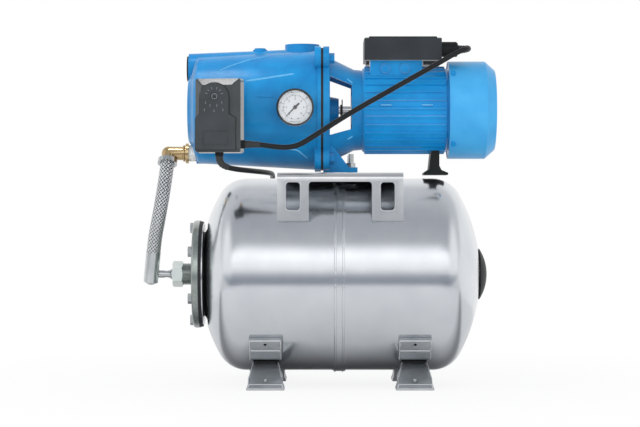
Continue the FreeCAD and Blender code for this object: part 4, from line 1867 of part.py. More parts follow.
node(minus("hank_ring", oval("hank_outer", "hank_bend"), [oval("hank_inner", "hank_bend - 2*cord_radius")]),
     "mains_hank")
PLUG_LEVEL = HANK_TOP + " + fit_gap + plug_radius"
plug = new_body("mains_plug")
spun(plug, [
    ("0", "0"),
    ("0", "cord_radius + 1.5"),
    ("-14", "cord_radius + 3.5"),
    ("-18", "plug_radius - 7"),
    ("-plug_length + 16", "plug_radius - 6"),
    ("-plug_length + 12", "plug_radius"),
    ("-plug_length", "plug_radius"),
    ("-plug_length", "0"),
], "Y")
pins = new_sketch(plug, "XZ_Plane", "plug_length")
for side in ("", "-"):
    ring(pins, side + "pin_spacing/2", "0", "pin_radius")
pad(plug, pins, "pin_length")
put(plug, x="plug_x", y="plug_y", z=PLUG_LEVEL)

# Checks, then one file for each node
doc.recompute()
faults = [o.Name for o in doc.Objects if "Invalid" in o.State or "Error" in o.State]
if faults:
    raise RuntimeError("failed objects: " + ", ".join(faults))
for cut in cuts:
    if cut.BaseFeature.Shape.Volume - cut.Shape.Volume < 0.1:
        raise RuntimeError("nothing was cut: " + cut.Name)
os.makedirs("parts", exist_ok=True)
for thing in nodes:
    if thing.Shape.isNull() or not thing.Shape.isValid():
        raise RuntimeError("bad shape: " + thing.Label)
    if thing.Shape.Volume <= 0:
        raise RuntimeError("no volume: " + thing.Label)
for thing in nodes:
    thing.Shape.exportStep("parts/%s.step" % thing.Label)
print(len(nodes), "nodes written")
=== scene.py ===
import math

import bpy
from mathutils import Matrix, Vector


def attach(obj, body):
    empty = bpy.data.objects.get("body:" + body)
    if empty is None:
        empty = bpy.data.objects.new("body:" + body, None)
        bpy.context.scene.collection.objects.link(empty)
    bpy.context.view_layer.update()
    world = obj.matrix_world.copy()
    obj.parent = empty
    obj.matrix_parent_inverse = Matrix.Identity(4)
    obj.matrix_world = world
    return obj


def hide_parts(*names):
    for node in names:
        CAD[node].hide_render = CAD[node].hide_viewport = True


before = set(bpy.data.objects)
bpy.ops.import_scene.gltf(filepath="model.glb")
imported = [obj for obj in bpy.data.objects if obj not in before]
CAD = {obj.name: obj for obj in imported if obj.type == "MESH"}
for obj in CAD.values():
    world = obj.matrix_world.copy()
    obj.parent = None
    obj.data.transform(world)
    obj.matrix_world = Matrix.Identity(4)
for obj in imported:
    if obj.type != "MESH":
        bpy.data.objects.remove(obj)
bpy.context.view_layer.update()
MM = 0.001

# Places that several pieces share, in metres: the vessel's axis, the outlet's level above the floor, and the
# upright plane from which the fittings' profiles are measured to the left.
VESSEL_AXIS = 0.16
OUTLET_LEVEL = 0.3348
FITTINGS_X = -0.2


# Small tools.


def linear(hex_colour):
    """The linear colour of an sRGB hex value."""
    parts = [int(hex_colour[i : i + 2], 16) / 255 for i in (0, 2, 4)]
    return tuple(c / 12.92 if c <= 0.04045 else ((c + 0.055) / 1.055) ** 2.4 for c in parts) + (1.0,)


def add_node(tree, kind, inputs=None, **settings):
    """A node with its settings. Each input is a plain value or another node's output."""
    node = tree.nodes.new(kind)
    for key, value in settings.items():
        setattr(node, key, value)
    for name, given in (inputs or {}).items():
        if isinstance(given, bpy.types.NodeSocket):
            tree.links.new(given, node.inputs[name])
        else:
            node.inputs[name].default_value = given
    return node


def node_material(name):
    """A new material with its node tree and its shader."""
    material = bpy.data.materials.new(name)
    material.use_nodes = True
    return material, material.node_tree, material.node_tree.nodes["Principled BSDF"]


def settle(piece, name, material, body="frame"):
    """Names a finished piece, gives it its material and lets it ride on its body."""
    piece.name = name
    piece.data.name = name
    piece.data.materials.clear()
    piece.data.materials.append(material)
    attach(piece, body)
    return piece


def start_clean():
    """Leaves edit mode and deselects everything."""
    if bpy.context.object and bpy.context.object.mode != "OBJECT":
        bpy.ops.object.mode_set(mode="OBJECT")
    bpy.ops.object.select_all(action="DESELECT")


def place_in_mesh(piece):
    """Puts the piece's place and turn into its mesh."""
    start_clean()
    piece.select_set(True)
    bpy.context.view_layer.objects.active = piece
    bpy.ops.object.transform_apply(location=True, rotation=True, scale=True)
    return piece


def smooth(piece, angle=32):
    """Smooth shading that keeps edges sharper than the angle, in degrees."""
    start_clean()
    piece.select_set(True)
    bpy.context.view_layer.objects.active = piece
    bpy.ops.object.shade_smooth_by_angle(angle=math.radians(angle))
    return piece


def join(pieces):
    """Joins the pieces into the first one."""
    start_clean()
    for piece in pieces:
        piece.select_set(True)
    bpy.context.view_layer.objects.active = pieces[0]
    bpy.ops.object.join()
    return bpy.context.view_layer.objects.active


def turned(profile, origin, axis, steps=64, angle=32):
    """A piece turned from a profile of (along, radius) points in mm, spun round its axis."""
    axis = Vector(axis).normalized()
    side = axis.orthogonal().normalized()
    origin = Vector(origin)
    points = [origin + axis * a * MM + side * r * MM for a, r in profile]
    start_clean()
    bpy.ops.mesh.primitive_circle_add(vertices=3, radius=0.001, location=points[0])
    piece = place_in_mesh(bpy.context.object)
    bpy.ops.object.mode_set(mode="EDIT")
    bpy.ops.mesh.select_mode(type="VERT")
    bpy.ops.mesh.select_all(action="SELECT")
    bpy.ops.mesh.merge(type="CENTER")
    for here, there in zip(points, points[1:]):
        bpy.ops.mesh.extrude_region_move(TRANSFORM_OT_translate={"value": there - here})
    bpy.ops.mesh.select_all(action="SELECT")
    bpy.ops.mesh.spin(steps=steps, angle=2 * math.pi, center=origin, axis=axis)
    bpy.ops.mesh.select_all(action="SELECT")
    bpy.ops.mesh.remove_doubles(threshold=0.000002)
    bpy.ops.mesh.normals_make_consistent(inside=False)
    bpy.ops.object.mode_set(mode="OBJECT")
    return smooth(piece, angle)


def block(size, place, turn=(0, 0, 0), bevel=0.3, segments=2):
    """A block with bevelled edges: size and bevel in mm, place in metres, turn in degrees."""
    start_clean()
    bpy.ops.mesh.primitive_cube_add(
        size=1, location=place, rotation=[math.radians(t) for t in turn], scale=[s * MM for s in size]
    )
    piece = place_in_mesh(bpy.context.object)
    bpy.ops.object.mode_set(mode="EDIT")
    bpy.ops.mesh.select_all(action="SELECT")
    bpy.ops.mesh.bevel(offset=bevel * MM, segments=segments, affect="EDGES")
    bpy.ops.object.mode_set(mode="OBJECT")
    return smooth(piece)


def copied(piece, move=(0, 0, 0), turn=None):
    """A copy with its own mesh, moved in metres, or turned by a matrix."""
    twin = piece.copy()
    twin.data = piece.data.copy()
    bpy.context.scene.collection.objects.link(twin)
    twin.data.transform(turn if turn else Matrix.Translation(move))
    return twin


def repeated(pattern, moves):
    """One piece made of copies of a pattern, one for each move in metres. The pattern goes."""
    found = [copied(pattern, move) for move in moves]
    bpy.data.objects.remove(pattern)
    return join(found)


def curve_of(name, route, radius=0.0):
    """One NURBS spline through the route's points, in metres, as round as the cord's radius."""
    data = bpy.data.curves.new(name, "CURVE")
    data.dimensions = "3D"
    data.resolution_u = 8
    spline = data.splines.new("NURBS")
    spline.points.add(len(route) - 1)
    for point, place in zip(spline.points, route):
        point.co = (*place, 1.0)
    spline.order_u = 3
    spline.use_endpoint_u = True
    data.bevel_depth = radius
    data.bevel_resolution = 5
    data.use_fill_caps = radius > 0
    piece = bpy.data.objects.new(name, data)
    bpy.context.scene.collection.objects.link(piece)
    return piece


def line_of(route, fine=24):
    """Points read along the route's own spline."""
    piece = curve_of("route", route)
    piece.data.resolution_u = fine
    mesh = bpy.data.meshes.new_from_object(piece)
    points = [v.co.copy() for v in mesh.vertices]
    bpy.data.objects.remove(piece)
    bpy.data.meshes.remove(mesh)
    return points


def length_of(points):
    """The length of a line of points, in metres."""
    return sum((b - a).length for a, b in zip(points, points[1:]))


def spaced(points, start, end, count):
    """Evenly spaced points on a line of points, between two distances from its start."""
    gone, found = 0.0, []
    wanted = [start + (end - start) * i / (count - 1) for i in range(count)]
    for a, b in zip(points, points[1:]):
        step = (b - a).length
        while len(found) < count and wanted[len(found)] <= gone + step + 1e-9:
            found.append(a.lerp(b, (wanted[len(found)] - gone) / max(step, 1e-9)))
        gone += step
    while len(found) < count:
        found.append(points[-1].copy())
    return found


def tube(points, radius_at, around):
    """A closed tube along the points. radius_at(share of the length, share of a turn) is in metres."""
    count = len(points)
    ahead = [(points[min(i + 1, count - 1)] - points[max(i - 1, 0)]).normalized() for i in range(count)]
    side = ahead[0].orthogonal().normalized()
    verts, faces, uvs = [], [], []
    for i, point in enumerate(points):
        side = (side - ahead[i] * side.dot(ahead[i])).normalized()
        other = ahead[i].cross(side)
        for j in range(around):
            t = 2 * math.pi * j / around
            r = radius_at(i / (count - 1), j / around)
            verts.append(point + side * r * math.cos(t) + other * r * math.sin(t))
    for i in range(count - 1):
        for j in range(around):
            k = (j + 1) % around
            faces.append((i * around + j, i * around + k, (i + 1) * around + k, (i + 1) * around + j))
            uvs += [(j / around, i / (count - 1)), ((j + 1) / around, i / (count - 1))]
            uvs += [((j + 1) / around, (i + 1) / (count - 1)), (j / around, (i + 1) / (count - 1))]
    faces.append(tuple(reversed(range(around))))
    faces.append(tuple(range((count - 1) * around, count * around)))
    uvs += [(0.5, 0.0)] * around + [(0.5, 1.0)] * around
    mesh = bpy.data.meshes.new("tube")
    mesh.from_pydata(verts, [], faces)
    layer = mesh.uv_layers.new(name="along")
    for loop, uv in zip(layer.data, uvs):
        loop.uv = uv
    piece = bpy.data.objects.new("tube", mesh)
    bpy.context.scene.collection.objects.link(piece)
    return piece


# Materials.


def finish(
    name, light, dark, metallic, roughness, grain, relief, spread=0.05, stretch=(1, 1, 1), sockets=None
):
    """A finish with two tones. grain is the size of its texture and relief its depth, both in mm."""
    material, tree, shader = node_material(name)
    shader.inputs["Metallic"].default_value = metallic
    for socket, value in (sockets or {}).items():
        shader.inputs[socket].default_value = value
    place = add_node(tree, "ShaderNodeTexCoord").outputs["Object"]
    stretched = add_node(tree, "ShaderNodeMapping", {"Scale": stretch, "Vector": place}).outputs["Vector"]
    grains = {"Vector": stretched, "Scale": 1000 / grain, "Detail": 5.0, "Roughness": 0.6}
    fine = add_node(tree, "ShaderNodeTexNoise", grains).outputs["Fac"]
    clouds = {"Vector": place, "Scale": 28.0, "Detail": 3.0, "Roughness": 0.5}
    broad = add_node(tree, "ShaderNodeTexNoise", clouds).outputs["Fac"]
    fine_on_broad = {0: fine, 1: 0.55, 2: broad}
    both = add_node(tree, "ShaderNodeMath", fine_on_broad, operation="MULTIPLY_ADD").outputs[0]
    light_parts = {"Value": both, "From Min": 0.5, "From Max": 1.05}
    share = add_node(tree, "ShaderNodeMapRange", light_parts).outputs["Result"]
    tones = {"Factor": share, "A": linear(dark), "B": linear(light)}
    tone = add_node(tree, "ShaderNodeMix", tones, data_type="RGBA").outputs["Result"]
    sheen = {"Value": both, "To Min": roughness + spread, "To Max": max(roughness - spread, 0.02)}
    gloss = add_node(tree, "ShaderNodeMapRange", sheen).outputs["Result"]
    bump = add_node(tree, "ShaderNodeBump", {"Strength": 1.0, "Distance": relief * MM, "Height": fine})
    tree.links.new(tone, shader.inputs["Base Color"])
    tree.links.new(gloss, shader.inputs["Roughness"])
    tree.links.new(bump.outputs["Normal"], shader.inputs["Normal"])
    return material


def darken_band(material, height, inner, outer):
    """Paints shade into a finish round a height: fully within inner, fading until outer, all in metres."""
    tree = material.node_tree
    base = tree.nodes["Principled BSDF"].inputs["Base Color"]
    plain = base.links[0].from_socket
    place = add_node(tree, "ShaderNodeTexCoord").outputs["Object"]
    level = add_node(tree, "ShaderNodeSeparateXYZ", {"Vector": place}).outputs["Z"]
    above = add_node(tree, "ShaderNodeMath", {0: level, 1: height}, operation="SUBTRACT").outputs[0]
    away = add_node(tree, "ShaderNodeMath", {0: above}, operation="ABSOLUTE").outputs[0]
    fade = {"Value": away, "From Min": inner, "From Max": outer, "To Min": 0.08, "To Max": 1.0}
    value = add_node(tree, "ShaderNodeMapRange", fade).outputs["Result"]
    scaled = add_node(tree, "ShaderNodeHueSaturation", {"Value": value, "Color": plain})
    tree.links.new(scaled.outputs["Color"], base)


# Grain widths below are in mm. The finest, on polished, ground and pressed metal, are drawn coarser than real
# ones, which wouldn't show.

# Polished stainless sheet, spun: broad soft mirror bands, hairlines round the vessel.
stainless = finish(
    "polished_stainless_sheet", "DADDE1", "D0D4D9", 1.0, 0.19, 0.5, 0.0012, 0.015, (1, 0.03, 0.03)
)
# Pressed stainless sheet: paler than the vessel, with a faint grain from the rolling.
pressed = finish("pressed_stainless_sheet", "DFE0E1", "CBCED0", 1.0, 0.2, 0.4, 0.003, 0.04, (0.08, 1, 1))
# Thicker pressed stainless of the feet: greyer, left as it came from the press.
foot_steel = finish(
    "grey_pressed_stainless_sheet", "C1C5C8", "989DA1", 1.0, 0.4, 0.4, 0.003, 0.04, (0.08, 1, 1)
)
# The bend between pad and leg is drawn nearly black: painted shade in the crease.
darken_band(foot_steel, 0.0385, 0.002, 0.006)
# Galvanised steel plate: greenish grey, cloudy, half dull.
galvanised = finish("galvanised_steel_plate", "B4BBB8", "8D9591", 1.0, 0.33, 3.0, 0.012, 0.1)
# Black passivated steel of the switch's base: blue grey, half dull.
dark_zinc = finish("black_passivated_steel", "5E656A", "43494E", 1.0, 0.36, 0.8, 0.006, 0.06)
# Zinc plated steel: light grey with a faint cool tone, small dull spots.
zinc = finish("zinc_plated_steel", "D3D7D7", "B0B6B7", 1.0, 0.28, 0.8, 0.006, 0.08)
# Zinc plated union nut: paler and slightly greenish.
pale_zinc = finish("passivated_zinc_plate", "FAFFFC", "E4EFE8", 1.0, 0.36, 1.2, 0.01, 0.08)
# Nickel plated steel: smooth and bright.
nickel = finish("nickel_plated_steel", "D3D6D7", "B4B8BA", 1.0, 0.2, 0.8, 0.004, 0.05)
# Cast brass, turned: warm yellow with darker pits left by the casting.
brass = finish("cast_brass", "D8C298", "A28250", 1.0, 0.27, 0.9, 0.012, 0.08)
# Machined brass: brighter, fine turning marks.
cut_brass = finish("machined_brass", "D8B56B", "B98F45", 1.0, 0.24, 0.25, 0.006, 0.05)
ENAMEL = {"Specular IOR Level": 0.2, "Coat Weight": 0.05, "Coat Roughness": 0.2}
# Enamel paint on cast iron: mid blue, satin, the mould's sand shows as a soft orange peel.
blue_cast = finish(
    "blue_enamel_on_cast_iron", "1688C4", "0B6DAA", 0.0, 0.34, 1.6, 0.03, 0.06, sockets=ENAMEL
)
# The same paint on die-cast aluminium: smoother and a little more even.
blue_alloy = finish(
    "blue_enamel_on_aluminium", "1592D2", "0B7BBC", 0.0, 0.32, 1.2, 0.012, 0.05, sockets=ENAMEL
)
# The same paint on pressed sheet: light and plain, hardly any texture.
blue_sheet = finish(
    "blue_enamel_on_sheet_steel", "40A3DA", "2E92CE", 0.0, 0.36, 1.0, 0.006, 0.04,
    sockets={"Specular IOR Level": 0.35, "Coat Weight": 0.1, "Coat Roughness": 0.3},
)
# The same paint drawn paler on raised edges and ribs: a painted highlight.
blue_painted_highlight = finish(
    "blue_enamel_painted_highlight", "63B4E2", "4A9FD3", 0.0, 0.34, 1.2, 0.01, 0.05,
    sockets={"Specular IOR Level": 0.4},
)
# Glass-filled polypropylene: near black, finely grained.
polypropylene = finish(
    "black_polypropylene", "1B1F20", "101314", 0.0, 0.5, 0.5, 0.015, 0.06, sockets={"Specular IOR Level": 0.2}
)
# ABS of the terminal box: charcoal, spark-eroded grain.
charcoal_abs = finish(
    "charcoal_abs", "2F3439", "22272B", 0.0, 0.42, 0.6, 0.015, 0.05, sockets={"Specular IOR Level": 0.28}
)
# ABS of the switch: dark grey, satin, brighter where light falls on its bevel.
grey_abs = finish(
    "dark_grey_abs", "31373B", "22272A", 0.0, 0.3, 0.7, 0.008, 0.05,
    sockets={"Coat Weight": 0.3, "Coat Roughness": 0.16},
)
# EPDM rubber: black, dull, faintly chalky.
rubber = finish("epdm_rubber", "25282A", "17191B", 0.0, 0.66, 0.7, 0.02, 0.08)
# PVC sheath of the cables: black, drawn smooth, soft sheen.
pvc = finish(
    "black_pvc_sheath", "191B1D", "111314", 0.0, 0.4, 0.6, 0.008, 0.05, sockets={"Specular IOR Level": 0.28}
)
# Moulded PVC of the plug and the cord boots: black, duller than the sheath.
plug_pvc = finish("moulded_black_pvc", "2A2C2E", "1C1D1F", 0.0, 0.5, 0.5, 0.02, 0.06)
# PTFE tape wound on the thread: white, soft, a little see-through on the ridges.
tape = finish(
    "ptfe_tape", "F3F2EE", "D9D6D0", 0.0, 0.5, 1.0, 0.06, 0.08, (0.4, 1, 1),
    {"Subsurface Weight": 0.15, "Subsurface Radius": (0.002, 0.002, 0.002)},
)
# Ground steel shaft: bright, even, a fine sheen.
ground_steel = finish("ground_steel", "C9CACB", "B4B6B8", 1.0, 0.2, 0.2, 0.003, 0.04)
# Hardened bearing steel, honed: the brightest metal inside.
bearing = finish("bearing_steel", "C2C4C6", "A9ACAF", 1.0, 0.16, 0.2, 0.002, 0.04)
# Spring steel wire and pressed levers: plain grey, satin.
spring = finish("spring_steel", "A7A9AA", "888B8D", 1.0, 0.32, 0.4, 0.006, 0.06)
# Stacked electrical sheet: thin dark lines across the shaft.
laminations = finish(
    "stacked_electrical_sheet", "75777A", "3E4043", 1.0, 0.45, 0.8, 0.05, 0.08, (1, 0.02, 0.02)
)
# Enamelled copper winding under varnish: red brown, in fine strands.
copper = finish("varnished_copper_winding", "B5672F", "6B3315", 0.6, 0.35, 0.9, 0.25, 0.1, (0.1, 1, 1))
# Glass-filled polyphenylene ether of the impeller and the diffuser: soft black, satin.
black_ether = finish("black_polyphenylene_ether", "303234", "1D1F21", 0.0, 0.42, 0.5, 0.02, 0.06)
# Nylon of the fan: soft black, dull.
nylon = finish("black_nylon", "2B2D2E", "1D1E20", 0.0, 0.5, 0.6, 0.015, 0.06)
# Ceramic seal seat, ground: ivory, very smooth.
ceramic = finish("alumina_ceramic", "ECE6D8", "DCD4C3", 0.0, 0.2, 0.3, 0.004, 0.05)
# Melamine moulding of the contacts and the terminals: cream, satin.
cream = finish("cream_melamine_moulding", "DDD5BD", "C6BC9F", 0.0, 0.4, 0.5, 0.01, 0.06)
# Drawn aluminium can of the capacitor: pale, with faint lines from the drawing.
can = finish("drawn_aluminium_can", "CFD1D3", "B6B9BC", 1.0, 0.28, 0.3, 0.005, 0.05, (0.05, 1, 1))
# Stove enamel of the gauge's case and bezel: black, glossy edge.
stove_black = finish(
    "black_stove_enamel", "202325", "141617", 0.0, 0.28, 0.9, 0.008, 0.05,
    sockets={"Coat Weight": 0.5, "Coat Roughness": 0.12},
)
# Matt white dial: plain, no shine.
dial_white = finish("matt_white_dial", "FBFDFF", "F1F5F9", 0.0, 0.6, 0.5, 0.004, 0.05)
# Black printing ink and needle paint: flat black. The same black is painted shade in the screw and nut slots
# and in the switch panel's groove.
ink_and_painted_shade = finish("black_ink_and_painted_shade", "1A1B1D", "101112", 0.0, 0.5, 0.5, 0.002, 0.05)
# Green-grey printing ink: the dial's foot line.
green_ink = finish("green_grey_ink", "7F9A86", "6A8672", 0.0, 0.5, 0.5, 0.002, 0.05)
# Raised marks on the switch, rubbed to a paler grey than its cover.
pale_marks = finish("worn_moulded_marks", "777E82", "63696D", 0.0, 0.35, 0.5, 0.006, 0.05)
# Clear gauge glass: colourless, a thin glint.
glass = finish(
    "clear_window_glass", "FFFFFF", "FBFDFF", 0.0, 0.04, 2.0, 0.0, 0.01,
    sockets={"Transmission Weight": 1.0, "IOR": 1.45},
)


def wire_braid():
    """The braid's finish from how far the wires stand up, with painted shade in the gaps between them."""
    material, tree, shader = node_material("stainless_wire_braid")
    shader.inputs["Metallic"].default_value = 1.0
    height = add_node(tree, "ShaderNodeAttribute", attribute_name="height").outputs["Fac"]
    place = add_node(tree, "ShaderNodeTexCoord").outputs["Object"]
    specks = {"Vector": place, "Scale": 900.0, "Detail": 3.0, "Roughness": 0.7}
    speckle = add_node(tree, "ShaderNodeTexNoise", specks).outputs["Fac"]
    speckled = {0: speckle, 1: 0.6, 2: height}
    mixed = add_node(tree, "ShaderNodeMath", speckled, operation="MULTIPLY_ADD").outputs[0]
    ramp = add_node(tree, "ShaderNodeValToRGB", {"Fac": mixed})
    painted_shade_gaps, wires = ramp.color_ramp.elements
    # Low places between the bundles turn near black: painted shade.
    painted_shade_gaps.position = 0.72
    painted_shade_gaps.color = linear("1E2224")
    wires.color = linear("E4E6E8")
    tree.links.new(ramp.outputs["Color"], shader.inputs["Base Color"])
    gloss = add_node(tree, "ShaderNodeMapRange", {"Value": height, "To Min": 0.42, "To Max": 0.2})
    tree.links.new(gloss.outputs["Result"], shader.inputs["Roughness"])
    return material


# Stainless wire braid: bright rounded bundles of wires, with painted shade in the gaps between them.
braid = wire_braid()

# Which CAD nodes have which finish.
FINISHES = [
    (stainless, ("tank_shell_left", "tank_shell_right")),
    (pressed, ("top_bracket",)),
    (foot_steel, ("feet",)),
    (galvanised, ("tank_flange",)),
    (zinc, ("flange_bolts", "pump_bolts", "motor_screws")),
    (dark_zinc, ("switch_base",)),
    (pale_zinc, ("union_nut",)),
    (nickel, ("hose_fittings",)),
    (brass, ("brass_elbow",)),
    (cut_brass, ("air_valve_stem", "air_valve_core", "impeller_nut", "switch_nipple", "gauge_stem")),
    (blue_cast, ("pump_casing", "motor_bracket", "priming_plug")),
    (blue_alloy, ("motor_housing", "end_shield")),
    (blue_sheet, ("fan_cover",)),
    (polypropylene, ("neck_cover", "air_valve_cap", "cable_glands", "motor_foot")),
    (charcoal_abs, ("terminal_box", "terminal_box_lid")),
    (grey_abs, ("switch_cover", "cover_nut")),
    (rubber, ("membrane", "casing_gasket", "suction_port_ring", "slinger")),
    (pvc, ("motor_cable", "mains_cord", "mains_hank")),
    (plug_pvc, ("mains_plug",)),
    (tape, ("port_nipple",)),
    (ground_steel, ("shaft",)),
    (bearing, ("ball_bearings",)),
    (spring, ("seal_ring", "switch_plunger", "switch_spring")),
    (laminations, ("rotor_core",)),
    (copper, ("stator",)),
    (black_ether, ("diffuser", "impeller")),
    (nylon, ("fan",)),
    (ceramic, ("seal_seat",)),
    (cream, ("contact_block", "terminal_block")),
    (can, ("capacitor",)),
    (stove_black, ("gauge_case", "gauge_bezel")),
    (dial_white, ("gauge_dial",)),
    (ink_and_painted_shade, ("gauge_needle",)),
    (glass, ("gauge_glass",)),
    (braid, ("braided_hose",)),
]


def dress(part, material):
    """Gives a CAD piece its material, smooth faces and crisp edges."""
    part.data.materials.clear()
    part.data.materials.append(material)
    for face in part.data.polygons:
        face.use_smooth = True
        face.material_index = 0
    weld = part.modifiers.new("joined_faces", "WELD")
    weld.merge_threshold = 0.000002
    edges = part.modifiers.new("sharp_edges", "EDGE_SPLIT")
    edges.split_angle = math.radians(32)


for material, nodes in FINISHES:
    for node in nodes:
        dress(CAD[node], material)

# The pump is painted after its screws are in. The bolts above the foot bolts and left of the lantern's face
# are blue, and so are all the motor's screws. The limits are in metres.
FOOT_BOLTS_TOP = 0.315
LANTERN_FACE = 0.004
MOTOR_END = 0.23
for node, paint, end in (("pump_bolts", blue_cast, LANTERN_FACE), ("motor_screws", blue_alloy, MOTOR_END)):
    part = CAD[node]
    part.data.materials.append(paint)
    for face in part.data.polygons:
        if face.center.x < end and face.center.z > FOOT_BOLTS_TOP:
            face.material_index = 1

# The vessel mirrors the bright room and nothing of the pump, so these don't show in reflections.
UNMIRRORED = (
    "pump_casing", "diffuser", "impeller", "motor_bracket", "motor_housing", "end_shield", "stator",
    "rotor_core", "shaft", "ball_bearings", "fan", "fan_cover", "terminal_box", "terminal_box_lid",
    "terminal_block", "capacitor",
)
for node in UNMIRRORED:
    CAD[node].visible_glossy = False


# Camera and cords.

camera_data = bpy.data.cameras.new("camera")
camera_data.sensor_width = 36.0
camera_data.lens = 116.4
camera = bpy.data.objects.new("camera", camera_data)
bpy.context.scene.collection.objects.link(camera)
camera.location = (-0.0283, -3.0, 0.2477)
camera.rotation_euler = (math.radians(90), 0, 0)
bpy.context.scene.camera = camera

# Braided hose, 20.5 mm thick, from the elbow down to its crimped sleeve.
HOSE_ROUTE = [
    (-0.24853, -0.00468, 0.32577), (-0.2503, -0.016, 0.3039), (-0.2545, -0.0225, 0.2739),
    (-0.261, -0.022, 0.2379), (-0.2665, -0.0165, 0.2119), (-0.2685, -0.013, 0.1929),
]
# Motor cable, 7.5 mm thick, from the switch past the lantern up to the terminal box.
MOTOR_CABLE_ROUTE = [
    (-0.13246, -0.11983, 0.344), (-0.11461, -0.12202, 0.344), (-0.096, -0.1224, 0.3412),
    (-0.077, -0.121, 0.3393), (-0.0589, -0.118, 0.342), (-0.0415, -0.114, 0.3528), (-0.0241, -0.106, 0.3642),
    (0.0012, -0.095, 0.3808), (0.0272, -0.086, 0.3968), (0.066, -0.076, 0.419), (0.108, -0.064, 0.4433),
    (0.1426, -0.0535, 0.463), (0.165, -0.0485, 0.4765), (0.1775, -0.0455, 0.482), (0.1835, -0.0395, 0.4835),
    (0.1835, -0.0305, 0.4842), (0.1775, -0.025, 0.4835), (0.17, -0.025, 0.4835),
]
# Mains cord, 7.5 mm thick, from the switch behind the vessel down to its hank.
MAINS_ROUTE = [
    (-0.16869, -0.11539, 0.328), (-0.16869, -0.11539, 0.3195), (-0.16, -0.111, 0.3125),
    (-0.144, -0.0995, 0.3095), (-0.126, -0.078, 0.308), (-0.1105, -0.048, 0.307), (-0.1, -0.015, 0.3062),
    (-0.097, 0.0203, 0.3048), (-0.099, 0.0664, 0.2903), (-0.101, 0.1052, 0.2616), (-0.103, 0.1325, 0.2218),
    (-0.104, 0.1454, 0.1753), (-0.1035, 0.146, 0.136), (-0.101, 0.1395, 0.103), (-0.0975, 0.136, 0.078),
    (-0.0955, 0.1362, 0.058), (-0.0947, 0.1375, 0.042), (-0.0944, 0.1415, 0.027), (-0.0944, 0.1505, 0.0125),
    (-0.0944, 0.162, 0.0055), (-0.0942, 0.173, 0.0038),
]
# The hank's middle, the radius of its bends and of the first one's start, its straight run and each turn's
# rise, in metres.
HANK_MIDDLE = (-0.109, 0.154)
HANK_BEND = 0.0225
HANK_ENTRY = 0.015
HANK_RUN = 0.0395
HANK_STEP = 0.00755
HANK_TURNS = 4
CORD_RADIUS = 0.00375
# From the hank's top up and round to the plug.
TAIL = [
    (-0.0885, 0.1845, 0.034), (-0.0925, 0.1915, 0.0345), (-0.104, 0.1986, 0.037), (-0.1165, 0.1994, 0.041),
    (-0.127, 0.1935, 0.0455), (-0.1325, 0.183, 0.0488), (-0.1325, 0.172, 0.0488),
]


def hank_points():
    """Turns laid on one another: round the back bend, down the left run, round the front bend and back."""
    x0, y0 = HANK_MIDDLE
    points = []
    for turn in range(HANK_TURNS):
        level = CORD_RADIUS + turn * HANK_STEP
        for step in range(1, 9):
            angle = math.radians(22.5 * step)
            reach = HANK_BEND
            if turn == 0:
                reach = HANK_ENTRY + (HANK_BEND - HANK_ENTRY) * step / 8
            points.append((x0 + reach * math.cos(angle), y0 + HANK_RUN / 2 + reach * math.sin(angle), level))
        for share in (0.33, 0.67):
            points.append((x0 - HANK_BEND, y0 + HANK_RUN * (0.5 - share), level))
        for step in range(9):
            angle = math.radians(180 + 22.5 * step)
            front = y0 - HANK_RUN / 2 + HANK_BEND * math.sin(angle)
            points.append((x0 + HANK_BEND * math.cos(angle), front, level))
        for share, rise in ((0.3, 0.2), (0.55, 0.6), (0.8, 0.95), (1.0, 1.0)):
            points.append((x0 + HANK_BEND, y0 + HANK_RUN * (share - 0.5), level + rise * HANK_STEP))
    return points


hose_line = line_of(HOSE_ROUTE)
motor_line = line_of(MOTOR_CABLE_ROUTE)
MAINS_WHOLE = MAINS_ROUTE + hank_points() + TAIL
mains_line = line_of(MAINS_WHOLE)

# Hose: bundles of wires cross over and under each other round the tube. They are drawn coarser than real
# ones, so that each shows in the render. Bundles each way round the hose, how many pass a line along it, and
# the rings and sides of its mesh.
STRANDS = 12
CROSSINGS = 25
HOSE_RINGS = 420
HOSE_SIDES = 144


def braid_height(along, turn):
    """How far the wires stand up at a place on the hose, from 0 in a gap to 1."""
    one = turn * STRANDS + along * CROSSINGS
    two = turn * STRANDS - along * CROSSINGS
    over = 1 if (math.floor(one) + math.floor(two)) % 2 else 0
    bundle_one = 1 - abs(2 * (one % 1) - 1) ** 1.6
    bundle_two = 1 - abs(2 * (two % 1) - 1) ** 1.6
    up_one = bundle_one * (1.0 if over else 0.5)
    up_two = bundle_two * (0.5 if over else 1.0)
    return max(up_one, up_two)


# The hose's radius over its wires and the depth of the gaps between them, in metres.
HOSE_RADIUS = 0.01025
WEAVE = 0.001
hose = tube(
    spaced(hose_line, 0, length_of(hose_line), HOSE_RINGS),
    lambda along, turn: HOSE_RADIUS - WEAVE * (1 - braid_height(along, turn)),
    HOSE_SIDES,
)
heights = hose.data.attributes.new("height", "FLOAT", "POINT")
for i, value in enumerate(heights.data):
    value.value = braid_height((i // HOSE_SIDES) / (HOSE_RINGS - 1), (i % HOSE_SIDES) / HOSE_SIDES)
settle(smooth(hose, 60), "braided_steel_hose", braid)
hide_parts("braided_hose")

motor_lead = curve_of("motor_lead", MOTOR_CABLE_ROUTE, CORD_RADIUS)
settle(motor_lead, "motor_lead", pvc)
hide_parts("motor_cable")
mains_lead = curve_of("mains_lead", MAINS_WHOLE, CORD_RADIUS)
settle(mains_lead, "mains_lead", pvc)
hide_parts("mains_cord", "mains_hank")

# Ribs on each cord's boot.
BOOT_RIBS = 6


def boot(name, line, end, thick, thin):
    """A tapered strain relief round a cord's end, with ribs: its end in metres, its radii in mm."""

    def radius(along, turn):
        wave = 0.5 + 0.5 * math.cos(2 * math.pi * BOOT_RIBS * along)
        taper = thick + (thin - thick) * along
        return (taper - 0.45 * wave * (along < 0.93)) * MM

    relief = smooth(tube(spaced(line, 0, end, 90), radius, 40), 40)
    return settle(relief, name, plug_pvc)


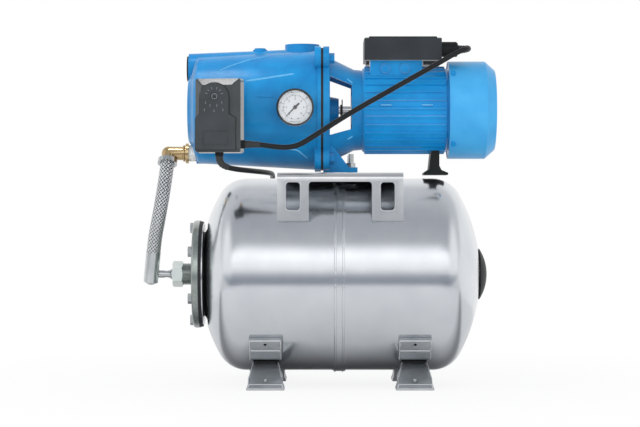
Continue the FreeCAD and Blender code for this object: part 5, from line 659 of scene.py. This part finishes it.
switch_boot = boot("motor_lead_boot", motor_line, 0.021, 5.6, 4.3)
mains_boot = boot("mains_lead_boot", mains_line, 0.022, 5.7, 4.3)
box_boot = boot("terminal_box_boot", list(reversed(motor_line)), 0.021, 6.4, 4.4)

# Plug: a round moulded body with a ribbed neck, pressed grip hollows, an end face and two pins.
PLUG = TAIL[-1]
# Half the width left at the grip hollows, the share kept of what stood past it, and how far each pin stands
# aside, in metres.
GRIP_HALF = 0.0075
GRIP_SHARE = 0.45
PIN_ASIDE = 0.0095
plug_profile = [
    (0, 0), (0, 4.6), (1.2, 5.2), (2.6, 4.7), (4.0, 5.5), (5.4, 5.0), (6.8, 6.0), (8.2, 5.5), (10.0, 7.2),
    (13.5, 9.4), (17.0, 12.2), (21.0, 14.6), (25.0, 16.2), (29.5, 17.2), (33.0, 17.6), (35.5, 18.0),
    (36.5, 18.5), (45.0, 18.5), (46.0, 17.8), (46.0, 15.6), (45.2, 15.0), (45.2, 0),
]
plug = turned(plug_profile, PLUG, (0, -1, 0), 96, 34)
for vertex in plug.data.vertices:
    aside = vertex.co.x - PLUG[0]
    down = vertex.co.z - PLUG[2]
    along = PLUG[1] - vertex.co.y
    if 0.012 < along < 0.034 and abs(aside) > GRIP_HALF and abs(down) < 0.012:
        vertex.co.x = PLUG[0] + math.copysign(GRIP_HALF + (abs(aside) - GRIP_HALF) * GRIP_SHARE, aside)
settle(plug, "moulded_plug", plug_pvc)
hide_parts("mains_plug")
PIN_MOVES = ((PIN_ASIDE, 0, 0), (-PIN_ASIDE, 0, 0))
pin_profile = [(43, 0), (43, 2.4), (63.2, 2.4), (64.6, 1.9), (65.0, 1.1), (65.0, 0)]
pin = turned(pin_profile, PLUG, (0, -1, 0), 28)
plug_pins = settle(repeated(pin, PIN_MOVES), "plug_pins", nickel)
collar = turned([(46.1, 2.5), (46.1, 3.6), (52.5, 3.3), (53.0, 2.5)], PLUG, (0, -1, 0), 28)
pin_sleeves = settle(repeated(collar, PIN_MOVES), "pin_sleeves", plug_pvc)

# Tie: a strap round the hank's stack at its front bend, with a small head. The block's two side faces are
# inset and deleted, so that only a strap is left.
TIE_Y = HANK_MIDDLE[1] - HANK_RUN / 2 - HANK_BEND
tie_band = block((7.0, 9.8, 31.2), (HANK_MIDDLE[0], TIE_Y, 0.0156), bevel=2.2, segments=5)
bpy.ops.object.mode_set(mode="EDIT")
bpy.ops.mesh.select_mode(type="FACE")
bpy.ops.mesh.select_all(action="DESELECT")
bpy.ops.object.mode_set(mode="OBJECT")
for face in tie_band.data.polygons:
    face.select = abs(face.normal.x) > 0.9
bpy.ops.object.mode_set(mode="EDIT")
bpy.ops.mesh.inset(thickness=0.0009, use_individual=False)
bpy.ops.mesh.delete(type="FACE")
bpy.ops.object.mode_set(mode="OBJECT")
tie_head = block((5.0, 3.2, 6.5), (HANK_MIDDLE[0], TIE_Y - 0.0058, 0.021), bevel=0.6)
cord_tie = settle(join([tie_band, tie_head]), "cord_tie", nylon)

[tuple(p) for p in spaced(hose_line, 0, length_of(hose_line), 160)]


# Gauge.

# Middle of the dial's face, and the place of its first mark, in degrees from the top.
DIAL = Vector((-0.063, -0.115, 0.3958))
DIAL_START = -135


def dial_place(angle, radius, lift=0.05):
    """A place on the dial, clockwise from the top in degrees, radius and lift in mm."""
    turn = math.radians(angle)
    return DIAL + Vector((math.sin(turn) * radius, -lift, math.cos(turn) * radius)) * MM


def print_number(words, angle, radius, height):
    """A number printed upright on the dial, its height in mm."""
    start_clean()
    bpy.ops.object.text_add(location=dial_place(angle, radius), rotation=(math.radians(90), 0, 0))
    text = bpy.context.object
    text.data.body = words
    text.data.align_x = "CENTER"
    text.data.align_y = "CENTER"
    text.data.size = height * MM
    text.data.extrude = 0.00003
    bpy.ops.object.convert(target="MESH")
    return place_in_mesh(bpy.context.object)


def marks(count, step, inner, outer, width):
    """Printed marks round the dial, in mm: one is modelled at the top, and all are turned copies of it."""
    top = block((width, 0.06, outer - inner), dial_place(0, (inner + outer) / 2), bevel=0.015, segments=1)
    found = []
    for i in range(count):
        spin = Matrix.Rotation(math.radians(DIAL_START + step * i), 4, "Y")
        turn = Matrix.Translation(DIAL) @ spin @ Matrix.Translation(-DIAL)
        found.append(copied(top, turn=turn))
    bpy.data.objects.remove(top)
    return found


# Degrees to one unit of the inner and of the outer scale.
BAR_STEP = 45.0
OUTER_STEP = 270 / 87
numbers = [print_number(str(i), DIAL_START + BAR_STEP * i, 11.9, 4.2) for i in range(7)]
numbers += [print_number(str(v), DIAL_START + OUTER_STEP * v, 21.1, 3.4) for v in (20, 40, 60, 80)]
settle(join(numbers), "dial_numbers", ink_and_painted_shade)
printed = marks(7, BAR_STEP, 14.6, 16.6, 0.75)
printed += marks(31, 9, 15.4, 16.6, 0.2)
printed += marks(9, OUTER_STEP * 10, 17.0, 18.9, 0.45)
printed += marks(44, OUTER_STEP * 2, 17.0, 17.9, 0.16)
settle(join(printed), "dial_marks", ink_and_painted_shade)
ring = turned([(0.02, 16.7), (0.06, 16.7), (0.06, 16.9), (0.02, 16.9), (0.02, 16.7)], DIAL, (0, -1, 0), 96)
settle(ring, "dial_ring", ink_and_painted_shade)
spots = [
    turned([(0.02, 0), (0.07, 0.9), (0.07, 0)], dial_place(a, 16.3, 0), (0, -1, 0), 20) for a in (198, 165)
]
settle(join(spots), "dial_spots", ink_and_painted_shade)
dial_foot = block((14.5, 0.06, 0.7), DIAL + Vector((0, -0.05, -19.4)) * MM, bevel=0.02, segments=1)
settle(dial_foot, "dial_foot_line", green_ink)
# Hub cap of the needle: a turned cap that moves with it.
cap = turned([(1.3, 0), (1.3, 2.3), (1.75, 2.2), (2.1, 1.6), (2.2, 0)], DIAL, (0, -1, 0), 32)
settle(cap, "needle_cap", stove_black, "needle")
# Stop pin of the needle beside the zero.
stop = turned([(0, 0), (0, 0.5), (1.2, 0.5), (1.3, 0)], dial_place(-148, 14.0, 0), (0, -1, 0), 16)
settle(stop, "needle_stop", zinc)


# Line to the vessel.

# Thread of the tank's nipple, between the flange and the union nut.
NIPPLE_PITCH = 2.25
TAPE_PITCH = 1.5
ridges = [(13.2, 14.4)]
for i in range(6):
    start = 13.3 + NIPPLE_PITCH * i
    ridges += [(start, 14.75), (start + 0.75, 15.75), (start + 1.25, 15.75), (start + 2.0, 14.75)]
ridges += [(26.4, 14.4)]
thread = turned(ridges, (FITTINGS_X, 0, VESSEL_AXIS), (-1, 0, 0), 72, 25)
settle(thread, "nipple_thread", galvanised)

# Tape on the outlet nipple: overlapping turns of uneven thickness.
wraps = [(7.2, 10.9)]
for i, thick in enumerate((11.35, 11.7, 11.45, 11.85, 11.55, 11.9, 11.5)):
    start = 7.3 + TAPE_PITCH * i
    wraps += [
        (start, thick - 0.25), (start + 0.25, thick), (start + 1.2, thick - 0.05), (start + 1.45, thick - 0.3)
    ]
wraps += [(18.1, 10.9)]
tape_turns = turned(wraps, (FITTINGS_X, 0, OUTLET_LEVEL), (-1, 0, 0), 72, 30)
for vertex in tape_turns.data.vertices:
    away = Vector((0, vertex.co.y, vertex.co.z - OUTLET_LEVEL))
    angle = math.atan2(away.z, away.y)
    vertex.co += away.normalized() * 0.00018 * math.sin(5 * angle + vertex.co.x * 2600)
settle(tape_turns, "tape_turns", tape)

# Bead of the elbow's collar.
bead_profile = [(1.2, 9.6), (1.2, 11.3), (2.0, 12.1), (3.4, 12.1), (4.2, 11.3), (4.2, 9.6)]
bead = turned(bead_profile, (-0.2225, 0, OUTLET_LEVEL), (-1, 0, 0), 64)
settle(bead, "elbow_bead", brass)


# Casting lines on the pump.


def laid_on(node, points, radius, rest, count=28):
    """A low rounded ridge along a casting, between points seen from the front and sunk in by rest, in mm."""
    target = CAD[node]
    found = []
    for i in range(count):
        share = i / (count - 1) * (len(points) - 1)
        low = min(int(share), len(points) - 2)
        a, b = points[low], points[low + 1]
        x = (a[0] + (b[0] - a[0]) * (share - low)) * MM
        z = (a[1] + (b[1] - a[1]) * (share - low)) * MM
        hit, spot, normal, _ = target.ray_cast((x, -0.4, z), (0, 1, 0))
        if hit:
            outward = normal if normal.y < 0 else -normal
            found.append(spot - outward * rest * MM)
    line = spaced(found, 0, length_of(found), count)

    def thin(along, turn):
        ends = min(1.0, 9 * along + 0.15, 9 * (1 - along) + 0.15)
        return radius * MM * ends

    return smooth(tube(line, thin, 14), 60)


# The ribs and the crease are drawn in the paler blue, a painted highlight; the parting line keeps the
# casing's blue.
CASING_LINES = [
    ("casing_rib", blue_painted_highlight, [(-137, 434.5), (-62, 446)], 1.7, 0.8),
    ("casing_crease", blue_painted_highlight, [(-182, 444), (-160, 456.5), (-128, 468), (-96, 475)], 1.3, 0.6),
    ("casing_lower_rib", blue_painted_highlight, [(-96, 343), (-60, 337.5), (-44, 325)], 1.5, 0.7),
    ("casing_parting_line", blue_cast, [(-118, 412.5), (-92, 411.5)], 1.2, 0.7),
]
for name, paint, points, radius, rest in CASING_LINES:
    settle(laid_on("pump_casing", points, radius, rest), name, paint)
# The lantern's ribs are drawn in the paler blue too: a painted highlight.
bracket_ribs = [
    laid_on("motor_bracket", [(-12.5, 440), (18, 426.5)], 1.6, 0.7),
    laid_on("motor_bracket", [(10, 440), (18.5, 433.5)], 1.3, 0.6, 12),
    laid_on("motor_bracket", [(10, 353), (18.5, 358)], 1.3, 0.6, 12),
]
settle(join(bracket_ribs), "lantern_ribs", blue_painted_highlight)

# Raised pads on two of the motor's ribs, drawn in the paler blue: a painted highlight.
rib_pad = block((15.5, 2.0, 1.7), (0, -0.0625, 0.4018), bevel=0.4)
settle(repeated(rib_pad, [(0.0655, 0, 0), (0.124, 0, 0)]), "rib_pads", blue_painted_highlight)


# Pressure switch.

# Its boss, the two level directions of its cover, the cover's turn about Z in degrees, how far out the
# raised panel's and the cover's fronts stand, and the radius of the ring of marks, in mm.
SWITCH = Vector((-0.170, -0.085, 0.409))
ACROSS = Vector((0.99255, -0.12187, 0))
OUT = Vector((-0.12187, -0.99255, 0))
SWITCH_TURN = -7
PANEL_FRONT = 53.0
COVER_FRONT = 50.5
MARK_RING = 11.5


def on_switch(across, up, out):
    """A place on the switch from its boss, in mm."""
    return SWITCH + (ACROSS * across + OUT * out + Vector((0, 0, up))) * MM


# Moulded marks round the cover nut and below it: generic strokes that stand for nothing.
strokes = []
for angle in (-70, -45, -18, 18, 45, 72):
    turn = math.radians(angle)
    spot = on_switch(1.8 + MARK_RING * math.sin(turn), 1 + MARK_RING * math.cos(turn), PANEL_FRONT + 0.1)
    strokes.append(block((1.1, 0.7, 3.2), spot, (0, angle, SWITCH_TURN), 0.2, 2))
for across, up in ((-10.5, -8), (-4.0, -12), (5.5, -12), (12.5, -8), (-12, -18), (1.5, -19.5), (14, -18)):
    strokes.append(
        block((1.1, 0.7, 3.6), on_switch(across, up, PANEL_FRONT + 0.1), (0, 0, SWITCH_TURN), 0.2, 2)
    )
settle(join(strokes), "switch_marks", pale_marks)
# Thin moulded frame round the cover's bare recess: its middle and its half sizes, in mm.
RECESS = (3.4, -56.5, 17.9, 9.9)
FRAME_OUT = PANEL_FRONT + 0.05
frame_bars = []
for side in (-1, 1):
    level_place = on_switch(RECESS[0], RECESS[1] + side * RECESS[3], FRAME_OUT)
    upright_place = on_switch(RECESS[0] + side * RECESS[2], RECESS[1], FRAME_OUT)
    frame_bars.append(block((2 * RECESS[2] + 0.8, 0.7, 0.8), level_place, (0, 0, SWITCH_TURN), 0.25))
    frame_bars.append(block((0.8, 0.7, 2 * RECESS[3]), upright_place, (0, 0, SWITCH_TURN), 0.25))
settle(join(frame_bars), "label_frame", grey_abs)
knob_rim = turned(
    [(0.0, 3.3), (0.0, 4.3), (0.4, 4.3), (0.4, 3.3), (0.0, 3.3)], on_switch(2, 1, PANEL_FRONT - 0.25), OUT, 48
)
settle(knob_rim, "cover_nut_rim", pale_marks)
# The nut's slot is a flat black bar: painted shade in the slot.
knob_slot = block((5.0, 0.5, 0.9), on_switch(2, 1, PANEL_FRONT - 0.2), (0, 35, SWITCH_TURN), 0.1, 1)
settle(knob_slot, "cover_nut_slot", ink_and_painted_shade)


def panel_edge():
    """Outline of the raised panel: square below, shouldered, round above."""
    corners = [(-24.6, -73), (31.4, -73), (31.4, -29), (21.9, -24)]
    arch = []
    for angle in range(0, 181, 12):
        turn = math.radians(angle)
        arch.append((1.5 + 20.4 * math.cos(turn), -0.9 + 20.4 * math.sin(turn)))
    whole = corners + arch + [(-18.9, -24), (-24.6, -29)]
    return [on_switch(across, up, COVER_FRONT + 0.15) for across, up in whole + whole[:1]]


# The groove at the panel's foot is a black tube: painted shade in the groove.
edge_line = panel_edge()
groove = tube(spaced(edge_line, 0, length_of(edge_line), 260), lambda along, turn: 1.1 * MM, 12)
settle(smooth(groove, 60), "panel_groove", ink_and_painted_shade)


# Terminal box.

# Level of the lid's rim, and from it the places of the lid's four screws, in metres.
LID_RIM = 0.4982
SCREW_MOVES = [(x, y, LID_RIM) for x in (0.0384, 0.1426) for y in (-0.0426, 0.0426)]
screw_profile = [(0, 0), (0, 2.5), (0.3, 2.5), (0.9, 2.1), (1.1, 1.6), (1.1, 0)]
screw_head = turned(screw_profile, (0, 0, 0), (0, 0, 1), 32)
settle(repeated(screw_head, SCREW_MOVES), "lid_screws", zinc)
# The screws' slots are flat black bars: painted shade in the slots.
slots = [block(size, (0, 0, 0.0011), (0, 0, 30), 0.05, 1) for size in ((2.6, 0.5, 0.2), (0.5, 2.6, 0.2))]
settle(repeated(join(slots), SCREW_MOVES), "lid_screw_slots", ink_and_painted_shade)
# Ribbed nut of the cable gland: every other rib is a little lower.
GLAND = Vector((0.146, -0.025, 0.4835))
RIB_ANGLE = 7.5
nut_profile = [(0.4, 8.0), (0.4, 10.6), (1.0, 10.95), (21.0, 10.95), (22.6, 10.0), (23.8, 8.0)]
nut = turned(nut_profile, GLAND, (1, 0, 0), 48, 20)
for vertex in nut.data.vertices:
    away = Vector((0, vertex.co.y - GLAND.y, vertex.co.z - GLAND.z))
    ribbed = round(math.degrees(math.atan2(away.z, away.y)) / RIB_ANGLE) % 2
    if ribbed and away.length > 0.0095:
        vertex.co -= away.normalized() * 0.0007
settle(nut, "gland_nut", polypropylene)


# Vessel.

# Weld bead on each side of the belled seam: its radius and the height of its ripples in mm, the number of
# ripples, and the seam's radius in metres.
BEAD_RADIUS = 1.9
RIPPLE = 0.08
RIPPLES = 160
SEAM_RADIUS = 0.1394


def weld_bead():
    """A rippled bead round the vessel's middle."""
    bead_points = []
    for i in range(240):
        angle = 2 * math.pi * i / 240
        across, up = SEAM_RADIUS * math.cos(angle), SEAM_RADIUS * math.sin(angle)
        bead_points.append(Vector((0, across, VESSEL_AXIS + up)))
    bead_points.append(bead_points[0].copy())

    def thick(along, turn):
        return (BEAD_RADIUS + RIPPLE * math.sin(2 * math.pi * RIPPLES * along)) * MM

    return smooth(tube(bead_points, thick, 10), 60)


beads = repeated(weld_bead(), [(-0.0069, 0, 0), (0.0042, 0, 0)])
settle(beads, "girth_beads", stainless)


# Seat of the terminal box.

# Knock-outs for further cables: a ring and a disc each, modelled in the middle and copied to the right.
SEAT_PLACE = (0, -0.0388, 0.4552)
ring_profile = [(-0.3, 6.3), (0.7, 6.6), (0.9, 7.0), (0.7, 7.5), (-0.3, 7.9)]
disc_profile = [(0.0, 4.4), (0.5, 4.2), (0.6, 3.9), (0.6, 2.2), (0.2, 1.9), (0.2, 0)]
knock_out = join(
    [turned(ring_profile, SEAT_PLACE, (0, -1, 0), 48), turned(disc_profile, SEAT_PLACE, (0, -1, 0), 40)]
)
knock_outs = repeated(knock_out, [(0.0651, 0, 0), (0.0929, 0, 0)])
settle(knock_outs, "knock_outs", blue_alloy)


# Feet and bracket.

# Bright pressed edges of the feet: a rolled rim round the pad and down the leg to the toe's lip. How far the
# feet stand to the sides, and the radius of their pads' outer faces, in metres.
FOOT_X = 0.105
PAD_RADIUS = 0.1445


def rim(points, radius):
    """A thin round rim along the points, its radius in mm."""
    return smooth(tube(spaced(points, 0, length_of(points), 60), lambda along, turn: radius * MM, 12), 60)


def on_pad(across, angle):
    """A place on the pad's outer face, across in mm and the angle below the horizontal in degrees."""
    turn = math.radians(angle)
    return Vector(
        (-FOOT_X + across * MM, -PAD_RADIUS * math.cos(turn), VESSEL_AXIS - PAD_RADIUS * math.sin(turn))
    )


def on_leg(across, forward, height):
    """A place on the front left foot's leg, in mm from the foot's middle, the vessel's axis and the floor."""
    return Vector((-FOOT_X + across * MM, -forward * MM, height * MM))


# Angles down the side of the pad, and places down the edge of the leg.
PAD_ANGLES = (54, 50, 46, 42, 38.6)
LEG_EDGE = ((25.9, 103.4, 1.2), (23.5, 100.0, 8), (23.2, 90.2, 16.2), (17.2, 73.2, 36.4))
pad_rim = [on_pad(-21.8, a) for a in PAD_ANGLES] + [on_pad(21.8, a) for a in reversed(PAD_ANGLES)]
pad_fold = [on_pad(-21, 46.5), on_pad(21, 46.5)]
leg_rims = [
    [on_leg(side * across, forward, height) for across, forward, height in LEG_EDGE] for side in (-1, 1)
]
toe_lip = [on_leg(-25.5, 103.2, 1.9), on_leg(25.5, 103.2, 1.9)]
toe_step = [on_leg(-23.2, 100.0, 8.0), on_leg(23.2, 100.0, 8.0)]
rims = [rim(pad_rim, 1.4), rim(pad_fold, 1.0), rim(toe_lip, 1.7), rim(toe_step, 0.9)]
front_left = join(rims + [rim(edge, 1.3) for edge in leg_rims])
front_right = copied(front_left, (2 * FOOT_X, 0, 0))
half_turn = Matrix.Rotation(math.pi, 4, "Z")
rear = [copied(front_left, turn=half_turn), copied(front_right, turn=half_turn)]
# The rims take the bracket's paler steel, brighter than the feet: partly real rolled edges, partly a painted
# highlight.
settle(join([front_left, front_right] + rear), "foot_rims", pressed)

# Windows of the bracket's legs: a rolled bright rim round each. Half width, bottom, top and corner, in mm.
WINDOW = (10.5, 251.6, 292.0, 5.0)
# How far the bracket's legs stand to the sides, and their outer faces to the front and back, in mm.
LEG_X = 66.0
LEG_FACE = 117.9


def window_rim():
    """A rim round the window of a front leg in the middle."""
    half, low, high, corner = WINDOW
    wide = half - corner
    top, bottom = high - corner, low + corner
    corners = ((wide, top, 0), (-wide, top, 90), (-wide, bottom, 180), (wide, bottom, 270))
    points = []
    for x, z, first in corners:
        for step in range(5):
            turn = math.radians(first + 22.5 * step)
            across, up = x + corner * math.cos(turn), z + corner * math.sin(turn)
            points.append(Vector((across, -LEG_FACE, up)) * MM)
    return rim(points + points[:1], 0.9)


front_rims = repeated(window_rim(), [(-LEG_X * MM, 0, 0), (LEG_X * MM, 0, 0)])
rear_rims = copied(front_rims, turn=half_turn)
settle(join([front_rims, rear_rims]), "window_rims", pressed)


# Floor, light and background.


def pale_floor():
    """Keeps the shadow, has painted shade under the vessel that only reflections see, and fades to white at
    its rim.
    """
    material, tree, shader = node_material("pale_floor")
    shader.inputs["Roughness"].default_value = 0.9
    rays = add_node(tree, "ShaderNodeLightPath").outputs
    place = add_node(tree, "ShaderNodeTexCoord").outputs["Object"]
    reach = add_node(tree, "ShaderNodeVectorMath", {0: place}, operation="LENGTH").outputs["Value"]
    side = add_node(tree, "ShaderNodeSeparateXYZ", {0: place}).outputs["Y"]
    aside = add_node(tree, "ShaderNodeMath", {0: side}, operation="ABSOLUTE").outputs[0]
    # Reflections see the floor dark grey under the vessel: painted shade.
    under_vessel = {"Value": aside, "From Min": 0.02, "From Max": 0.1, "To Min": 1.0, "To Max": 0.0}
    near = add_node(tree, "ShaderNodeMapRange", under_vessel).outputs["Result"]
    both = {0: near, 1: rays["Is Glossy Ray"]}
    painted_shade_share = add_node(tree, "ShaderNodeMath", both, operation="MULTIPLY").outputs[0]
    greys = {"Factor": painted_shade_share, "A": (0.8, 0.8, 0.8, 1), "B": (0.3, 0.3, 0.31, 1)}
    grey = add_node(tree, "ShaderNodeMix", greys, data_type="RGBA").outputs["Result"]
    tree.links.new(grey, shader.inputs["Base Color"])
    towards_rim = {"Value": reach, "From Min": 0.3, "From Max": 0.85, "To Min": 0.88, "To Max": 1.0}
    fade = add_node(tree, "ShaderNodeMapRange", towards_rim).outputs["Result"]
    both = {0: rays["Is Camera Ray"], 1: fade}
    seen = add_node(tree, "ShaderNodeMath", both, operation="MULTIPLY").outputs[0]
    white = add_node(tree, "ShaderNodeEmission", {"Color": (1, 1, 1, 1), "Strength": 1.0})
    mixed = add_node(tree, "ShaderNodeMixShader", {0: seen, 1: shader.outputs[0], 2: white.outputs[0]})
    tree.links.new(mixed.outputs[0], tree.nodes["Material Output"].inputs["Surface"])
    return material


start_clean()
bpy.ops.mesh.primitive_circle_add(vertices=96, radius=0.9, fill_type="NGON")
floor = bpy.context.object
floor.name = "floor"
floor.data.materials.append(pale_floor())

# The studio round the X axis, from the back under the floor to the front, the ceiling and the back again:
# where on the way round, from 0 to 1, and how bright.
STUDIO = [
    (0.0, 1.0), (0.3, 0.7), (0.437, 0.76), (0.466, 0.24), (0.488, 0.33), (0.526, 1.2), (0.568, 1.5),
    (0.615, 0.56), (0.69, 0.5), (0.84, 0.72), (0.91, 1.0), (1.0, 1.0),
]
# Light of the walls at the sides, and of the whole room on dull faces.
WALL_LIGHT = (1.1, 1.1, 1.1, 1)
ROOM_LIGHT = (0.92, 0.92, 0.93, 1)


def studio_world():
    """White behind the object. Reflections see a bright strip in front and bright walls at the sides."""
    world = bpy.data.worlds.new("studio")
    world.use_nodes = True
    tree = world.node_tree
    place = add_node(tree, "ShaderNodeTexCoord").outputs["Generated"]
    ways = add_node(tree, "ShaderNodeSeparateXYZ", {0: place}).outputs
    back = add_node(tree, "ShaderNodeMath", {0: ways["Y"], 1: -1.0}, operation="MULTIPLY").outputs[0]
    around = add_node(tree, "ShaderNodeMath", {0: ways["Z"], 1: back}, operation="ARCTAN2").outputs[0]
    whole_turn = {"Value": around, "From Min": -math.pi, "From Max": math.pi}
    share = add_node(tree, "ShaderNodeMapRange", whole_turn).outputs["Result"]
    bands = add_node(tree, "ShaderNodeValToRGB", {"Fac": share})
    bands.color_ramp.interpolation = "EASE"
    elements = bands.color_ramp.elements
    while len(elements) < len(STUDIO):
        elements.new(0.5)
    for element, (where, level) in zip(elements, STUDIO):
        cool = 0.035 * max(0.0, 1 - level)
        element.position = where
        element.color = (level - cool, level, level + 2 * cool, 1)
    aside = add_node(tree, "ShaderNodeMath", {0: ways["X"]}, operation="ABSOLUTE").outputs[0]
    # The walls stand where all three hold: far to the side, above the floor and in front.
    wall = 1.0
    for value, start, end, low, high in (
        (aside, 0.6, 0.86, 0.0, 1.0), (ways["Z"], -0.12, 0.12, 0.0, 1.0), (ways["Y"], -0.15, 0.3, 1.0, 0.0)
    ):
        limits = {"Value": value, "From Min": start, "From Max": end, "To Min": low, "To Max": high}
        inside = add_node(tree, "ShaderNodeMapRange", limits, interpolation_type="SMOOTHSTEP")
        both = {0: wall, 1: inside.outputs["Result"]}
        wall = add_node(tree, "ShaderNodeMath", both, operation="MULTIPLY").outputs[0]
    rays = add_node(tree, "ShaderNodeLightPath").outputs
    straight = {0: rays["Is Camera Ray"], 1: rays["Is Transmission Ray"]}
    shown = add_node(tree, "ShaderNodeMath", straight, operation="MAXIMUM").outputs[0]
    colour = bands.outputs["Color"]
    for share, other in ((wall, WALL_LIGHT), (rays["Is Diffuse Ray"], ROOM_LIGHT), (shown, (1, 1, 1, 1))):
        colours = {"Factor": share, "A": colour, "B": other}
        colour = add_node(tree, "ShaderNodeMix", colours, data_type="RGBA").outputs["Result"]
    tree.links.new(colour, tree.nodes["Background"].inputs["Color"])
    return world


bpy.context.scene.world = studio_world()


def soft_lamp(name, place, aim, wide, deep, power):
    """A rectangular area lamp aimed at a place: metres and watts."""
    lamp_data = bpy.data.lights.new(name, "AREA")
    lamp_data.shape = "RECTANGLE"
    lamp_data.size = wide
    lamp_data.size_y = deep
    lamp_data.energy = power
    lamp = bpy.data.objects.new(name, lamp_data)
    bpy.context.scene.collection.objects.link(lamp)
    lamp.location = place
    lamp.rotation_euler = (Vector(aim) - Vector(place)).to_track_quat("-Z", "Y").to_euler()
    return lamp


# A small soft box close over the switch gives its bevel the bright edge. It lights the pieces near it
# alone, so the polished vessel doesn't mirror it.
bevel = soft_lamp("bevel_box", (-0.205, -0.125, 0.72), (-0.175, -0.12, 0.43), 0.11, 0.08, 0.3)
near_bevel = bpy.data.collections.new("near_bevel_box")
for node in ("switch_cover", "switch_base", "cable_glands", "pump_casing", "brass_elbow"):
    near_bevel.objects.link(CAD[node])
bevel.light_linking.receiver_collection = near_bevel
# A wide fill in front and above, too soft to show as a reflection.
fill = soft_lamp("front_fill", (-0.5, -1.6, 1.3), (0, 0, 0.3), 2.2, 1.4, 7.0)
right = soft_lamp("right_fill", (1.3, -0.8, 0.55), (0.21, -0.03, 0.39), 0.8, 0.8, 2.0)
left = soft_lamp("left_fill", (-1.3, -0.6, 0.9), (-0.2, -0.03, 0.42), 0.8, 0.8, 2.5)
low_fill = soft_lamp("low_fill", (0.15, -1.3, 0.05), (0.05, 0, 0.38), 1.6, 0.3, 4.5)
for thing in (fill, right, left, low_fill, motor_lead, mains_lead):
    thing.visible_glossy = False

bpy.context.scene.view_settings.view_transform = "Standard"
